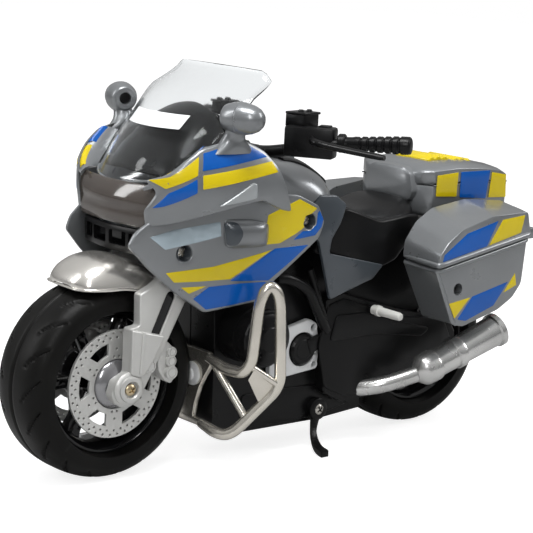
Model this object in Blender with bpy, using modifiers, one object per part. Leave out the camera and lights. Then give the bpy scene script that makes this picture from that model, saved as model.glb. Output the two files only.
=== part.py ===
"""Toy police touring motorcycle, moulded in plastic at about one tenth of full size.

The front faces -Y, the rider's left is +X, Z is up. The origin lies on the ground
under the middle of the wheelbase. The tables below are in millimetres and the meshes
are made in metres.
"""

import math

import bmesh
import bpy
from mathutils import Matrix, Vector

MM = 0.001

# Driving dimensions, millimetres
GAP = 0.4
WHEELBASE = 150.0
WHEEL_R = 35.0
AXLE_Z = WHEEL_R
FRONT_Y = -WHEELBASE / 2
REAR_Y = WHEELBASE / 2
RIM_R = 25.0
RIM_BORE_R = 22.0
FRONT_TYRE_W = 27.0
REAR_TYRE_W = 24.0
DISC_R = 19.3
DISC_FACE_X = 11.9
DISC_T = 1.2
AXLE_R = 1.6
AXLE_END_X = 16.4
RAKE = math.radians(30.5)
STEER_AXIS = (0.0, math.sin(RAKE), math.cos(RAKE))
STEM_R = 3.0
SHELL_T = 1.6
SPINE_X = 14.0
GEAR_MODULE = 1.0
GEAR_T = 3.0
GEAR_X = -17.2
DRIVE_COVER_X = -19.3
BAY_FLOOR_X = -14.9
FLY_R = 8.0
FLY_X0, FLY_X1 = -10.5, -7.0
FLY_SHAFT_R = 1.0
STAND_PIVOT = (16.0, 15.1)
SCREW_R = 2.3


def reset_scene():
    for obj in list(bpy.data.objects):
        bpy.data.objects.remove(obj, do_unlink=True)
    for name in ("toy_touring_motorcycle", "cutters"):
        bpy.context.scene.collection.children.link(bpy.data.collections.new(name))


reset_scene()
MODEL = bpy.data.collections["toy_touring_motorcycle"]
CUTTERS = bpy.data.collections["cutters"]

FINISHES = {
    "silver_plastic": ((0.62, 0.63, 0.64), 0.30, 0.6),
    "grey_plastic": ((0.33, 0.35, 0.37), 0.35, 0.2),
    "black_plastic": ((0.015, 0.015, 0.017), 0.40, 0.0),
    "gloss_black": ((0.012, 0.012, 0.014), 0.15, 0.0),
    "rubber": ((0.02, 0.02, 0.02), 0.70, 0.0),
    "clear_plastic": ((0.75, 0.80, 0.82), 0.05, 0.0),
    "smoked_plastic": ((0.16, 0.15, 0.15), 0.10, 0.0),
    "red_plastic": ((0.55, 0.03, 0.03), 0.20, 0.0),
    "yellow_plastic": ((0.85, 0.72, 0.05), 0.30, 0.0),
    "white_plastic": ((0.75, 0.75, 0.73), 0.40, 0.0),
    "steel": ((0.60, 0.58, 0.54), 0.30, 1.0),
    "brass": ((0.70, 0.50, 0.20), 0.30, 1.0),
}


def finish_material(name):
    material = bpy.data.materials.get(name)
    if material:
        return material
    colour, roughness, metallic = FINISHES[name]
    material = bpy.data.materials.new(name)
    material.use_nodes = True
    shader = material.node_tree.nodes["Principled BSDF"]
    shader.inputs["Base Color"].default_value = (*colour, 1.0)
    shader.inputs["Roughness"].default_value = roughness
    shader.inputs["Metallic"].default_value = metallic
    return material


# ---------------------------------------------------------------- mesh helpers

def add_object(name, bm, finish):
    """Link a bmesh, given in millimetres, as one outward-facing object in metres."""
    bmesh.ops.remove_doubles(bm, verts=bm.verts, dist=0.001)
    bmesh.ops.recalc_face_normals(bm, faces=bm.faces)
    bmesh.ops.scale(bm, vec=(MM, MM, MM), verts=bm.verts)
    mesh = bpy.data.meshes.new(name)
    bm.to_mesh(mesh)
    bm.free()
    obj = bpy.data.objects.new(name, mesh)
    MODEL.objects.link(obj)
    mesh.materials.append(finish_material(finish))
    mesh.shade_smooth()
    mesh.set_sharp_from_angle(angle=math.radians(35))
    return obj


def bake(obj):
    """Turn an object with modifiers, or a curve, into a plain closed mesh object."""
    bpy.context.view_layer.update()
    evaluated = obj.evaluated_get(bpy.context.evaluated_depsgraph_get())
    mesh = bpy.data.meshes.new_from_object(evaluated)
    mesh.transform(obj.matrix_world)
    bm = bmesh.new()
    bm.from_mesh(mesh)
    bmesh.ops.remove_doubles(bm, verts=bm.verts, dist=0.000001)
    bmesh.ops.recalc_face_normals(bm, faces=bm.faces)
    bm.to_mesh(mesh)
    bm.free()
    name = obj.name
    collection = obj.users_collection[0]
    bpy.data.objects.remove(obj, do_unlink=True)
    baked = bpy.data.objects.new(name, mesh)
    collection.objects.link(baked)
    mesh.shade_smooth()
    mesh.set_sharp_from_angle(angle=math.radians(35))
    return baked


def add_curve(name, points, finish, cyclic=False, flat=False):
    curve = bpy.data.curves.new(name, "CURVE")
    curve.dimensions = "2D" if flat else "3D"
    spline = curve.splines.new("POLY")
    spline.points.add(len(points) - 1)
    for slot, point in zip(spline.points, points):
        x, y, z = (*point, 0.0)[:3]
        slot.co = (x * MM, y * MM, z * MM, 1.0)
    spline.use_cyclic_u = cyclic
    obj = bpy.data.objects.new(name, curve)
    MODEL.objects.link(obj)
    curve.materials.append(finish_material(finish))
    return obj


def bevel(obj, width, segments=1):
    modifier = obj.modifiers.new("edge", "BEVEL")
    modifier.width = width * MM
    modifier.segments = segments
    modifier.limit_method = "ANGLE"
    modifier.angle_limit = math.radians(40)
    return bake(obj)


def block(name, low, high, finish, edge=0.0):
    bm = bmesh.new()
    bmesh.ops.create_cube(bm, size=1.0)
    low, high = Vector(low), Vector(high)
    bmesh.ops.scale(bm, vec=high - low, verts=bm.verts)
    bmesh.ops.translate(bm, vec=(high + low) / 2, verts=bm.verts)
    obj = add_object(name, bm, finish)
    return bevel(obj, edge) if edge else obj


def plate(name, outline, x0, x1, finish, edge=0.0):
    """A flat piece: an outline of (y, z) points, extruded from x0 to x1."""
    obj = add_curve(name, outline, finish, cyclic=True, flat=True)
    obj.data.fill_mode = "BOTH"
    obj.data.extrude = (x1 - x0) / 2 * MM
    turn = Matrix(((0, 0, 1), (1, 0, 0), (0, 1, 0))).to_4x4()
    obj.matrix_world = Matrix.Translation(((x0 + x1) / 2 * MM, 0, 0)) @ turn
    obj = bake(obj)
    return bevel(obj, edge) if edge else obj


def tube(name, points, radius, finish, sides=2, cyclic=False):
    obj = add_curve(name, points, finish, cyclic=cyclic)
    obj.data.bevel_depth = radius * MM
    obj.data.bevel_resolution = sides
    obj.data.use_fill_caps = True
    return bake(obj)


def turned(name, profile, centre, finish, axis=(1, 0, 0), steps=32, loop=False):
    """Turn a profile of (along, radius) points about an axis through a centre."""
    bm = bmesh.new()
    verts = [bm.verts.new((radius * MM, 0, along * MM)) for along, radius in profile]
    for first, second in zip(verts, verts[1:]):
        bm.edges.new((first, second))
    if loop:
        bm.edges.new((verts[-1], verts[0]))
    mesh = bpy.data.meshes.new(name)
    bm.to_mesh(mesh)
    bm.free()
    obj = bpy.data.objects.new(name, mesh)
    MODEL.objects.link(obj)
    mesh.materials.append(finish_material(finish))
    screw = obj.modifiers.new("turn", "SCREW")
    screw.steps = steps
    screw.render_steps = steps
    screw.use_merge_vertices = True
    screw.merge_threshold = 0.00001
    turn = Vector(axis).to_track_quat("Z", "Y").to_matrix().to_4x4()
    obj.matrix_world = Matrix.Translation(Vector(centre) * MM) @ turn
    return bake(obj)


def disc(name, radius, x0, x1, y, z, finish, steps=24, edge=0.0):
    """A round bar or boss along X, with an optional chamfer on both ends."""
    profile = [(x1, 0), (x1, radius - edge), (x1 - edge, radius),
               (x0 + edge, radius), (x0, radius - edge), (x0, 0)]
    if not edge:
        profile = [(x1, 0), (x1, radius), (x0, radius), (x0, 0)]
    return turned(name, profile, (0, y, z), finish, steps=steps)


def loft(name, rings, finish, edge=0.0):
    """A closed body through rings of matching points, capped at both ends."""
    bm = bmesh.new()
    loops = [[bm.verts.new(point) for point in ring] for ring in rings]
    count = len(rings[0])
    for first, second in zip(loops, loops[1:]):
        for i in range(count):
            j = (i + 1) % count
            bm.faces.new((first[i], first[j], second[j], second[i]))
    bm.faces.new(loops[0])
    bm.faces.new(loops[-1])
    obj = add_object(name, bm, finish)
    return bevel(obj, edge) if edge else obj


def grid_shell(name, rows, finish, inside, thickness=SHELL_T):
    """A moulded shell: an open sheet through rows of points, thickened towards a point."""
    bm = bmesh.new()
    verts = [[bm.verts.new(point) for point in row] for row in rows]
    for upper, lower in zip(verts, verts[1:]):
        for i in range(len(upper) - 1):
            bm.faces.new((upper[i], lower[i], lower[i + 1], upper[i + 1]))
    bm.normal_update()
    outward = sum(face.normal.dot(face.calc_center_median() - Vector(inside))
                  * face.calc_area() for face in bm.faces)
    if outward < 0:
        bmesh.ops.reverse_faces(bm, faces=bm.faces)
    bmesh.ops.scale(bm, vec=(MM, MM, MM), verts=bm.verts)
    mesh = bpy.data.meshes.new(name)
    bm.to_mesh(mesh)
    bm.free()
    obj = bpy.data.objects.new(name, mesh)
    MODEL.objects.link(obj)
    mesh.materials.append(finish_material(finish))
    solidify = obj.modifiers.new("wall", "SOLIDIFY")
    solidify.thickness = thickness * MM
    solidify.offset = -1.0
    solidify.use_even_offset = True
    return bake(obj)


def set_aside(cutter):
    for collection in cutter.users_collection:
        collection.objects.unlink(cutter)
    CUTTERS.objects.link(cutter)
    cutter.hide_render = True
    cutter.display_type = "WIRE"


def combine(obj, others, operation):
    for other in others:
        modifier = obj.modifiers.new(operation.lower(), "BOOLEAN")
        modifier.operation = operation
        modifier.object = other
        set_aside(other)
    return bake(obj)


def cut(obj, *cutters):
    return combine(obj, cutters, "DIFFERENCE")


def join(obj, *others):
    return combine(obj, others, "UNION")


def mirrored(obj, name):
    """The other side's copy of a piece, reflected across the centre plane."""
    mesh = obj.data.copy()
    mesh.transform(Matrix.Diagonal((-1, 1, 1, 1)))
    mesh.flip_normals()
    copy = bpy.data.objects.new(name, mesh)
    MODEL.objects.link(copy)
    return copy


def both_sides(obj):
    """Add the right-hand copy of a piece whose name ends in _left."""
    return mirrored(obj, obj.name.replace("_left", "_right"))


def arc(y, z, radius, start, stop, count):
    """Points on a circle in the side view, angles in degrees from +Y towards +Z."""
    angles = [math.radians(start + (stop - start) * i / (count - 1)) for i in range(count)]
    return [(y + radius * math.cos(a), z + radius * math.sin(a)) for a in angles]


def raked(along, out):
    """Side-view point from distances up the steering axis and forward of it."""
    y = FRONT_Y + along * math.sin(RAKE) - out * math.cos(RAKE)
    z = AXLE_Z + along * math.cos(RAKE) + out * math.sin(RAKE)
    return (y, z)


def side_shell(name, outline, depth, finish, thickness=SHELL_T, step=6.0):
    """A bodywork panel: the curved sheet x = depth(y, z), trimmed to an outline."""
    ys = [p[0] for p in outline]
    zs = [p[1] for p in outline]
    columns = math.ceil((max(ys) - min(ys) + 4) / step)
    levels = math.ceil((max(zs) - min(zs) + 4) / step)
    rows = []
    for j in range(levels + 1):
        z = max(zs) + 2 - (max(zs) - min(zs) + 4) * j / levels
        row = []
        for i in range(columns + 1):
            y = min(ys) - 2 + (max(ys) - min(ys) + 4) * i / columns
            row.append((depth(y, z), y, z))
        rows.append(row)
    sheet = grid_shell(name, rows, finish, (0, sum(ys) / len(ys), sum(zs) / len(zs)), thickness)
    trim = plate(name + "_trim", outline, 5.0, 60.0, finish)
    return combine(sheet, [trim], "INTERSECT")


# ---------------------------------------------------------------- wheels

def tyre_profile(width, crown_drop=9.0, exponent=3.0, points=11):
    """Section of a fat round tyre, from bead to bead round the tread and back."""
    profile = [(-width * 0.36, RIM_R + GAP)]
    for i in range(points):
        side = -1.0 + 2.0 * i / (points - 1)
        along = math.sin(side * math.pi / 2)
        drop = crown_drop * (1 - (1 - abs(along) ** exponent) ** (1 / exponent))
        profile.append((along * width / 2, WHEEL_R - drop))
    profile.append((width * 0.36, RIM_R + GAP))
    return profile


def wheel(prefix, y, tyre_width):
    """Tyre and spoked rim. The rim has six spokes and a hub with an axle bore."""
    turned(prefix + "_tyre", tyre_profile(tyre_width), (0, y, AXLE_Z), "rubber",
           steps=40, loop=True)
    half = tyre_width * 0.36
    rim = turned(prefix + "_rim", [(-half, RIM_BORE_R), (half, RIM_BORE_R),
                                   (half, RIM_R), (-half, RIM_R)],
                 (0, y, AXLE_Z), "gloss_black", steps=32, loop=True)
    hub = disc(prefix + "_hub", 7.0, -8.5, 8.5, y, AXLE_Z, "gloss_black", steps=20)
    spokes = []
    for i in range(6):
        spoke = block(f"{prefix}_spoke_{i}", (-3.5, -1.8, 5.0), (3.5, 1.8, RIM_BORE_R + 1.0),
                      "gloss_black")
        turn = Matrix.Rotation(math.radians(60 * i + 30), 4, "X")
        spoke.matrix_world = Matrix.Translation(Vector((0, y, AXLE_Z)) * MM) @ turn
        spokes.append(bake(spoke))
    rim = join(rim, hub, *spokes)
    bore = disc(prefix + "_bore", AXLE_R + GAP, -15, 15, y, AXLE_Z, "steel", steps=16)
    return cut(rim, bore)


def brake_disc(name, y, x0, x1):
    """Drilled brake disc with six windows and a centre hole that clears the hub."""
    ring = turned(name, [(x0, 8.5), (x1, 8.5), (x1, DISC_R), (x0, DISC_R)],
                  (0, y, AXLE_Z), "silver_plastic", steps=30, loop=True)
    windows = []
    for i in range(6):
        middle = 60 * i
        outer = arc(y, AXLE_Z, 15.2, middle - 17, middle + 17, 3)
        inner = arc(y, AXLE_Z, 11.0, middle + 13, middle - 13, 2)
        windows.append(plate(f"{name}_window_{i}", outer + inner, x0 - 1, x1 + 1, "steel"))
    return cut(ring, *windows)


def make_wheels():
    wheel("front", FRONT_Y, FRONT_TYRE_W)
    wheel("rear", REAR_Y, REAR_TYRE_W)
    brake_disc("front_disc_left", FRONT_Y, DISC_FACE_X - DISC_T, DISC_FACE_X)
    brake_disc("front_disc_right", FRONT_Y, -DISC_FACE_X, -DISC_FACE_X + DISC_T)
    disc("front_axle", AXLE_R, -AXLE_END_X, AXLE_END_X, FRONT_Y, AXLE_Z, "steel", steps=16)
    disc("rear_axle", AXLE_R, DRIVE_COVER_X + GAP, 17.4, REAR_Y, AXLE_Z, "steel", steps=16)


# ---------------------------------------------------------------- friction drive

def gear(name, teeth, x0, x1, y, z, finish, bore, phase=0.0):
    """Spur gear along X with straight-sided teeth of the common module."""
    pitch = GEAR_MODULE * teeth / 2
    tip, root = pitch + 0.85 * GEAR_MODULE, pitch - 1.15 * GEAR_MODULE
    outline = []
    for i in range(teeth):
        base = 360 * (i + phase) / teeth
        for offset, radius in ((-0.30, root), (-0.12, tip), (0.12, tip), (0.30, root)):
            angle = math.radians(base + offset * 360 / teeth)
            outline.append((y + radius * math.cos(angle), z + radius * math.sin(angle)))
    body = plate(name, outline, x0, x1, finish)
    return cut(body, disc(name + "_bore", bore, x0 - 1, x1 + 1, y, z, "steel", steps=16))


FINAL_TEETH = 16
IDLER_TEETH = 18
PINION_TEETH = 9
GEAR_CENTRES = {}


def place_gears():
    """Centres of the train, from the rear axle forward along the right-hand arm."""
    z = AXLE_Z
    y = REAR_Y
    GEAR_CENTRES["final"] = (y, z)
    reach = GEAR_MODULE * (FINAL_TEETH + IDLER_TEETH) / 2 + 0.25
    slope = math.radians(8)
    y, z = y - reach * math.cos(slope), z - reach * math.sin(slope)
    GEAR_CENTRES["idler_rear"] = (y, z)
    reach = GEAR_MODULE * IDLER_TEETH + 0.25
    y, z = y - reach * math.cos(slope), z - reach * math.sin(slope)
    GEAR_CENTRES["idler_front"] = (y, z)
    reach = GEAR_MODULE * (IDLER_TEETH + PINION_TEETH) / 2 + 0.25
    y, z = y - reach * math.cos(slope), z - reach * math.sin(slope)
    GEAR_CENTRES["flywheel"] = (y, z)


def mesh_phase(teeth, driver, driver_teeth, driver_phase, driven):
    """Tooth phase that puts a gap of the driven gear opposite a driver's tooth."""
    line = math.degrees(math.atan2(driven[1] - driver[1], driven[0] - driver[0]))
    driver_turns = (line / 360 * driver_teeth - driver_phase) % 1.0
    back = (line + 180) / 360 * teeth
    return (back + driver_turns + 0.5) % 1.0


def make_friction_drive():
    """Gear train in the right-hand arm and the flywheel it spins up."""
    x0, x1 = GEAR_X - GEAR_T / 2, GEAR_X + GEAR_T / 2
    train = [("final", FINAL_TEETH, "final_gear"),
             ("idler_rear", IDLER_TEETH, "idler_gear_rear"),
             ("idler_front", IDLER_TEETH, "idler_gear_front"),
             ("flywheel", PINION_TEETH, "flywheel_pinion")]
    phase, last, wheels = 0.0, None, {}
    for key, teeth, name in train:
        y, z = GEAR_CENTRES[key]
        if last:
            phase = mesh_phase(teeth, GEAR_CENTRES[last[0]], last[1], phase, (y, z))
        bore, finish = AXLE_R + GAP, "white_plastic"
        if key == "flywheel":
            bore, finish = FLY_SHAFT_R - 0.2, "steel"
        wheels[key] = gear(name, teeth, x0, x1, y, z, finish, bore, phase)
        last = (key, teeth)
    y, z = GEAR_CENTRES["flywheel"]
    shaft = disc("shaft", FLY_SHAFT_R, DRIVE_COVER_X + GAP, FLY_X1 + 1.5, y, z, "steel",
                 steps=12)
    rim = disc("flywheel", FLY_R, FLY_X0, FLY_X1, y, z, "steel", steps=28)
    join(rim, shaft, wheels["flywheel"])


# ---------------------------------------------------------------- chassis

SPINE_OUTLINE = [(-33, 14), (-22, 10.2), (18, 10.2), (40, 12), (39.5, 22), (37.8, 32),
                 (37.8, 42), (41, 52), (46.5, 60), (53.5, 67), (62, 71.5), (76, 73),
                 (98, 76), (98, 81), (62, 80), (42, 69.5), (8, 78), (-6, 88), (-24, 88),
                 (-30.5, 91), (-32.0, 82), (-34.5, 60), (-33.6, 40)]
HEAD_X = 8.0
ARM_INNER_X = 13.2
ARM_OUTER_X = 18.9
ARM_OUTLINE = [(15.4, 58), (15.4, 40), (16.4, 22), (26, 17), (52, 18), (66, 24.5)] + \
    arc(REAR_Y, AXLE_Z, 11.5, -60, 100, 7) + [(56, 50), (36, 56), (24, 60)]
ENGINE_HUB = (6.2, 39.5)
CYLINDER = (-22.0, 49.0)
PANNIER_X0, PANNIER_X1 = 28.0, 49.0


def chassis_half(side):
    """One moulded half: spine and swinging arm in one, hollow where the drive sits."""
    name = "chassis_" + side
    body = plate(name, SPINE_OUTLINE, GAP / 2, SPINE_X, "black_plastic", edge=0.8)
    arm = plate(name + "_arm", ARM_OUTLINE, ARM_INNER_X, ARM_OUTER_X, "black_plastic",
                edge=0.6)
    hub = disc("hub", 6.0, 12.5, 18.0, *ENGINE_HUB, "black_plastic", steps=20, edge=0.8)
    head = disc("cylinder", 10.5, 12.5, 31.0, *CYLINDER, "black_plastic", steps=24, edge=2.0)
    rack = block("rack", (12.0, 66, 74.5), (PANNIER_X0 - GAP, 78, 79), "black_plastic", 0.6)
    neck_outline = [raked(67.5, -14), raked(67.5, 6.5), raked(78, 6.5), raked(78, -14)]
    neck = plate("neck", neck_outline, GAP / 2, HEAD_X, "black_plastic", edge=0.6)
    body = join(body, arm, hub, head, rack, neck)
    hollow = block(name + "_hollow", (-1.0, -18, 16), (11.5, 35.5, 44), "steel")
    axle_hole = disc(name + "_axle_hole", AXLE_R + GAP, 5, 17.8, REAR_Y, AXLE_Z, "steel",
                     steps=16)
    stem_bore = turned("stem_bore", [(90, 0), (90, STEM_R + GAP), (64, STEM_R + GAP), (64, 0)],
                       (0, FRONT_Y, AXLE_Z), "steel", axis=STEER_AXIS, steps=20)
    body = cut(body, hollow, axle_hole, stem_bore)
    if side == "left":
        return body
    return mirrored_in_place(cut_drive_bay(body))


def cut_drive_bay(body):
    """Pockets for the gears, open outwards, and the flywheel shaft's hole."""
    pockets = []
    for key, teeth in (("final", FINAL_TEETH), ("idler_rear", IDLER_TEETH),
                       ("idler_front", IDLER_TEETH), ("flywheel", PINION_TEETH)):
        y, z = GEAR_CENTRES[key]
        radius = GEAR_MODULE * (teeth / 2 + 0.85) + 0.6
        pockets.append(disc("pocket_" + key, radius, -BAY_FLOOR_X, 25, y, z, "steel",
                            steps=24))
    y, z = GEAR_CENTRES["flywheel"]
    pockets.append(disc("shaft_hole", FLY_SHAFT_R + GAP, 8, 25, y, z, "steel", steps=12))
    return cut(body, *pockets)


def mirrored_in_place(obj):
    obj.data.transform(Matrix.Diagonal((-1, 1, 1, 1)))
    obj.data.flip_normals()
    return obj


def make_chassis():
    place_gears()
    chassis_half("left")
    chassis_half("right")
    cover = plate("drive_cover", ARM_OUTLINE, -20.6, DRIVE_COVER_X, "black_plastic", edge=0.4)
    pins = []
    for key in ("idler_rear", "idler_front"):
        y, z = GEAR_CENTRES[key]
        pins.append(disc(key + "_pin", AXLE_R, -20.0, BAY_FLOOR_X - GAP, y, z,
                         "black_plastic", steps=16))
    join(cover, *pins)
    cover_outline = [(-10, 30.0), (-0.3, 29.8), (14.2, 31.7), (14.6, 35.2), (14.2, 43.6),
                     (11.6, 50.2), (9.4, 53.2), (-1.7, 51.8), (-10, 48.0)]
    cover = plate("engine_cover_left", cover_outline, SPINE_X + GAP, 17.0, "silver_plastic",
                  edge=0.5)
    hole = disc("hub_hole", 6.4, 10, 20, *ENGINE_HUB, "steel", steps=20)
    mouth = plate("hub_mouth", [(8, 35.8), (20, 38.6), (20, 46.0), (8, 43.4)], 10, 20, "steel")
    cover = cut(cover, hole, mouth)
    both_sides(cover)
    turned("foot_peg_left", [(36, 0), (36, 2.0), (19.3, 2.6), (19.3, 0)], (0, 38, 52.5),
           "white_plastic", steps=12)
    turned("foot_peg_right", [(-21.0, 0), (-21.0, 2.6), (-36, 2.0), (-36, 0)], (0, 38, 52.5),
           "white_plastic", steps=12)


# ---------------------------------------------------------------- silver guards

GUARD_R = 2.1


def make_guards():
    """Tubular crash bars round the cylinders and the belly guard between them."""
    path = [(15.6, -37.5, 41), (24, -36, 38.5), (32, -34.5, 38.5), (34.8, -33.2, 43),
            (35.6, -31.8, 64), (36.3, -30.3, 69.0), (37.2, -28.0, 70.4),
            (38.0, -25.6, 68.0), (38.2, -24.4, 63), (38.2, -22.4, 36), (36.8, -23.6, 31.5),
            (29.5, -34.6, 17.0), (27.0, -37.0, 15.0), (23.5, -38.6, 15.2), (15.6, -39.6, 17.0)]
    bar = tube("crash_bar_left", path, GUARD_R, "silver_plastic", sides=2)
    brace = tube("brace", [(34.5, -33.4, 41.5), (38.0, -24.0, 35.0)], 1.6, "silver_plastic",
                 sides=2)
    strut = tube("strut", [(16.5, -37.3, 40.0), (31.7, -31.3, 21.4)], 1.5, "silver_plastic",
                 sides=2)
    both_sides(join(bar, brace, strut))
    guard = block("belly_guard", (-13, -37.3, 15), (13, -35.0, 43), "silver_plastic", 0.6)
    windows = []
    for side in (-1, 1):
        ring = [[(side * 10.9, y, 38.4), (side * 16, y, 38.4), (side * 16, y, 18.4),
                 (side * 3.4, y, 18.4), (side * 3.6, y, 26.0)] for y in (-45, -30)]
        windows.append(loft("guard_window", ring, "steel"))
    return cut(guard, *windows)


# ---------------------------------------------------------------- steering

LEG_X0, LEG_X1 = 15.0, 19.2


def make_fork():
    leg_outline = [raked(-6, 6), raked(-7, 0), raked(-5, -6.5), raked(24, -7), raked(60, -7),
                   raked(60, 7), raked(26, 7), raked(22, 9), raked(6, 8)]
    leg = plate("fork_left", leg_outline, LEG_X0, LEG_X1, "silver_plastic", edge=0.6)
    bore = disc("leg_bore", AXLE_R + GAP, 10, AXLE_END_X + GAP, FRONT_Y, AXLE_Z, "steel",
                steps=16)
    boss = disc("boss", 6.0, LEG_X1 - 1, 21.8, FRONT_Y, AXLE_Z, "silver_plastic", steps=20,
                edge=0.8)
    caliper = plate("caliper", [raked(7, -5), raked(22, -5), raked(24, -11), raked(20, -14.5),
                                raked(10, -15.5), raked(5.5, -12.5)], 14.2, 17.6,
                    "silver_plastic", edge=0.6)
    leg = join(cut(leg, slot_cutter()), boss, caliper)
    well = disc("screw_well", SCREW_R + GAP, 20.2, 30, FRONT_Y, AXLE_Z, "steel", steps=16)
    both_sides(cut(leg, bore, well))
    disc("axle_screw", SCREW_R, 20.2 + GAP, 22.4, FRONT_Y, AXLE_Z, "brass", steps=14)


def slot_cutter():
    """The long round-ended slot moulded through the fork leg."""
    outline = []
    for end, start in ((33.5, -90), (22.5, 90)):
        for i in range(7):
            angle = math.radians(start + 30 * i)
            outline.append(raked(end + 2.0 * math.cos(angle), 2.0 * math.sin(angle)))
    return plate("leg_slot", outline, 10, 25, "steel")


def make_steering():
    make_fork()
    yoke_outline = [raked(61, -4), raked(61, 4), raked(66, 4), raked(66, -4)]
    yoke = plate("fork_yoke", yoke_outline, -LEG_X1, LEG_X1, "black_plastic", edge=0.5)
    stem = turned("stem", [(86, 0), (86, STEM_R), (64, STEM_R), (64, 0)],
                  (0, FRONT_Y, AXLE_Z), "black_plastic", axis=STEER_AXIS, steps=20)
    join(yoke, stem)
    make_fender()
    make_handlebar()


FENDER_STATIONS = ((121, 39.3, 2.0, 0.5), (118, 40.6, 7.0, 3.0), (110, 43.2, 12.0, 7.0),
                   (100, 44.6, 14.2, 9.5), (88, 44.4, 14.6, 10.5), (77, 43.5, 14.6, 10.5),
                   (66, 42.5, 14.6, 10.0))


def make_fender():
    """Front mudguard: an arched sheet over the tyre, pointed at the front."""
    rows = []
    for degrees, radius, half, skirt in FENDER_STATIONS:
        angle = math.radians(degrees)
        row = []
        for j in range(9):
            s = -1 + 2 * j / 8
            reach = radius - skirt * abs(s) ** 2.6
            row.append((half * s, FRONT_Y + reach * math.cos(angle),
                        AXLE_Z + reach * math.sin(angle)))
        rows.append(row)
    grid_shell("front_fender", rows, "silver_plastic", (0, FRONT_Y, AXLE_Z), 1.4)


def make_handlebar():
    """Black one-piece bar with grips, levers and reservoirs at both ends."""
    bar = tube("handlebar", [(-40, 1.5, 119.5), (-33, -3, 118.5), (-20, -9.5, 115.5),
                             (-10, -12.5, 113.5), (10, -12.5, 113.5), (20, -9.5, 115.5),
                             (33, -3, 118.5), (40, 1.5, 119.5)], 2.3, "black_plastic", sides=2)
    clamp = turned("clamp", [(8, 0), (8, 5.5), (0, 5.5), (0, 0)], (0, *raked(86.5, 0)),
                   "black_plastic", axis=STEER_AXIS, steps=16)
    riser = block("riser", (-7, -31.0, 111.2), (7, -10.5, 115.8), "black_plastic", 0.8)
    along = Vector((17.0, 12.5, 2.0)).normalized()
    profile = [(20.5, 0), (20.5, 2.6), (19.5, 3.6)]
    for i in range(4):
        base = 17.0 - 4.2 * i
        profile += [(base, 3.6), (base - 0.9, 3.0), (base - 1.8, 3.6)]
    profile += [(0, 3.6), (0, 0)]
    pieces = [turned("grip", profile, (39.5, 1.0, 119.4), "black_plastic", axis=along,
                     steps=12),
              block("switch_block", (26.0, -6.5, 114.6), (36, 4.2, 124.8), "black_plastic", 0.8),
              block("housing", (19, -11.8, 114.0), (28.6, 2.6, 122.4), "black_plastic", 0.8),
              block("reservoir", (19.6, -10.0, 121.4), (27.4, 1.2, 129.4), "black_plastic", 1.0),
              tube("lever", [(34, -4.0, 119.5), (38, -6.0, 117.8), (44, -3.5, 117.0),
                             (52, 0.5, 116.6), (59, 4.2, 116.2)], 1.5, "black_plastic")]
    pieces += [mirrored(piece, piece.name + "_far") for piece in pieces]
    join(bar, clamp, riser, *pieces)


# ---------------------------------------------------------------- bodywork

def wing_depth(y, z):
    """Half width of the upper fairing, widest at the rider's knees."""
    reach = min(max((-20.0 - y) / 51.0, 0.0), 1.1)
    return 37.5 - 15.5 * reach ** 3 - 0.016 * (z - 104.0) ** 2


def lower_depth(y, z):
    """Half width of the lower side fairing, drawn in towards the nose and the sump."""
    reach = min(y, 0.0) / 77.0
    return 30.0 - 10.0 * reach ** 2 - 0.0015 * min(z - 90.0, 0.0) ** 2


WING_OUTLINE = [(-69.8, 91.2), (-66.0, 104.0), (-69.4, 106.6), (-66.0, 109.6), (-61.0, 114.0),
                (-55.5, 118.4), (-49.0, 120.2), (-38.0, 121.0), (-32.3, 118.0), (-27.0, 112.6),
                (-23.3, 104.2), (-20.0, 96.2), (-25.0, 97.2), (-33.6, 101.0), (-42.4, 99.4),
                (-55.6, 95.6)]
LOWER_OUTLINE = [(-77.4, 84.8), (-74.4, 89.0), (-65.0, 91.6), (-48.9, 94.4), (-30.0, 95.6),
                 (-11.0, 100.7), (-1.4, 96.4), (1.8, 90.2), (-0.2, 84.6), (-20.0, 69.6),
                 (-24.8, 63.0), (-47.6, 60.2), (-59.8, 68.2), (-69.8, 76.8)]
FAIRING_SCREWS = ((-57.0, 81.9), (-5.4, 90.8))


def make_fairings():
    both_sides(side_shell("upper_fairing_left", WING_OUTLINE, wing_depth, "grey_plastic"))
    lower = side_shell("lower_fairing_left", LOWER_OUTLINE, lower_depth, "grey_plastic")
    holes = []
    for i, (y, z) in enumerate(FAIRING_SCREWS):
        x = lower_depth(y, z)
        holes.append(disc(f"screw_well_{i}", 2.9, x - 6, x + 6, y, z, "steel", steps=16))
        name = f"fairing_screw_{'front' if i == 0 else 'rear'}_left"
        both_sides(disc(name, SCREW_R, x - 4.2, x - 2.2, y, z, "steel", steps=14))
    both_sides(cut(lower, *holes))


def nose_rows(levels, steps=9, bow=1.6):
    """Rows across the nose: each level gives height, set-back and corner half width."""
    rows = []
    for z, y_middle, y_corner, half in levels:
        row = []
        for i in range(steps):
            s = -1 + 2 * i / (steps - 1)
            row.append((half * s, y_middle + (y_corner - y_middle) * abs(s) ** bow, z))
        rows.append(row)
    return rows


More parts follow.
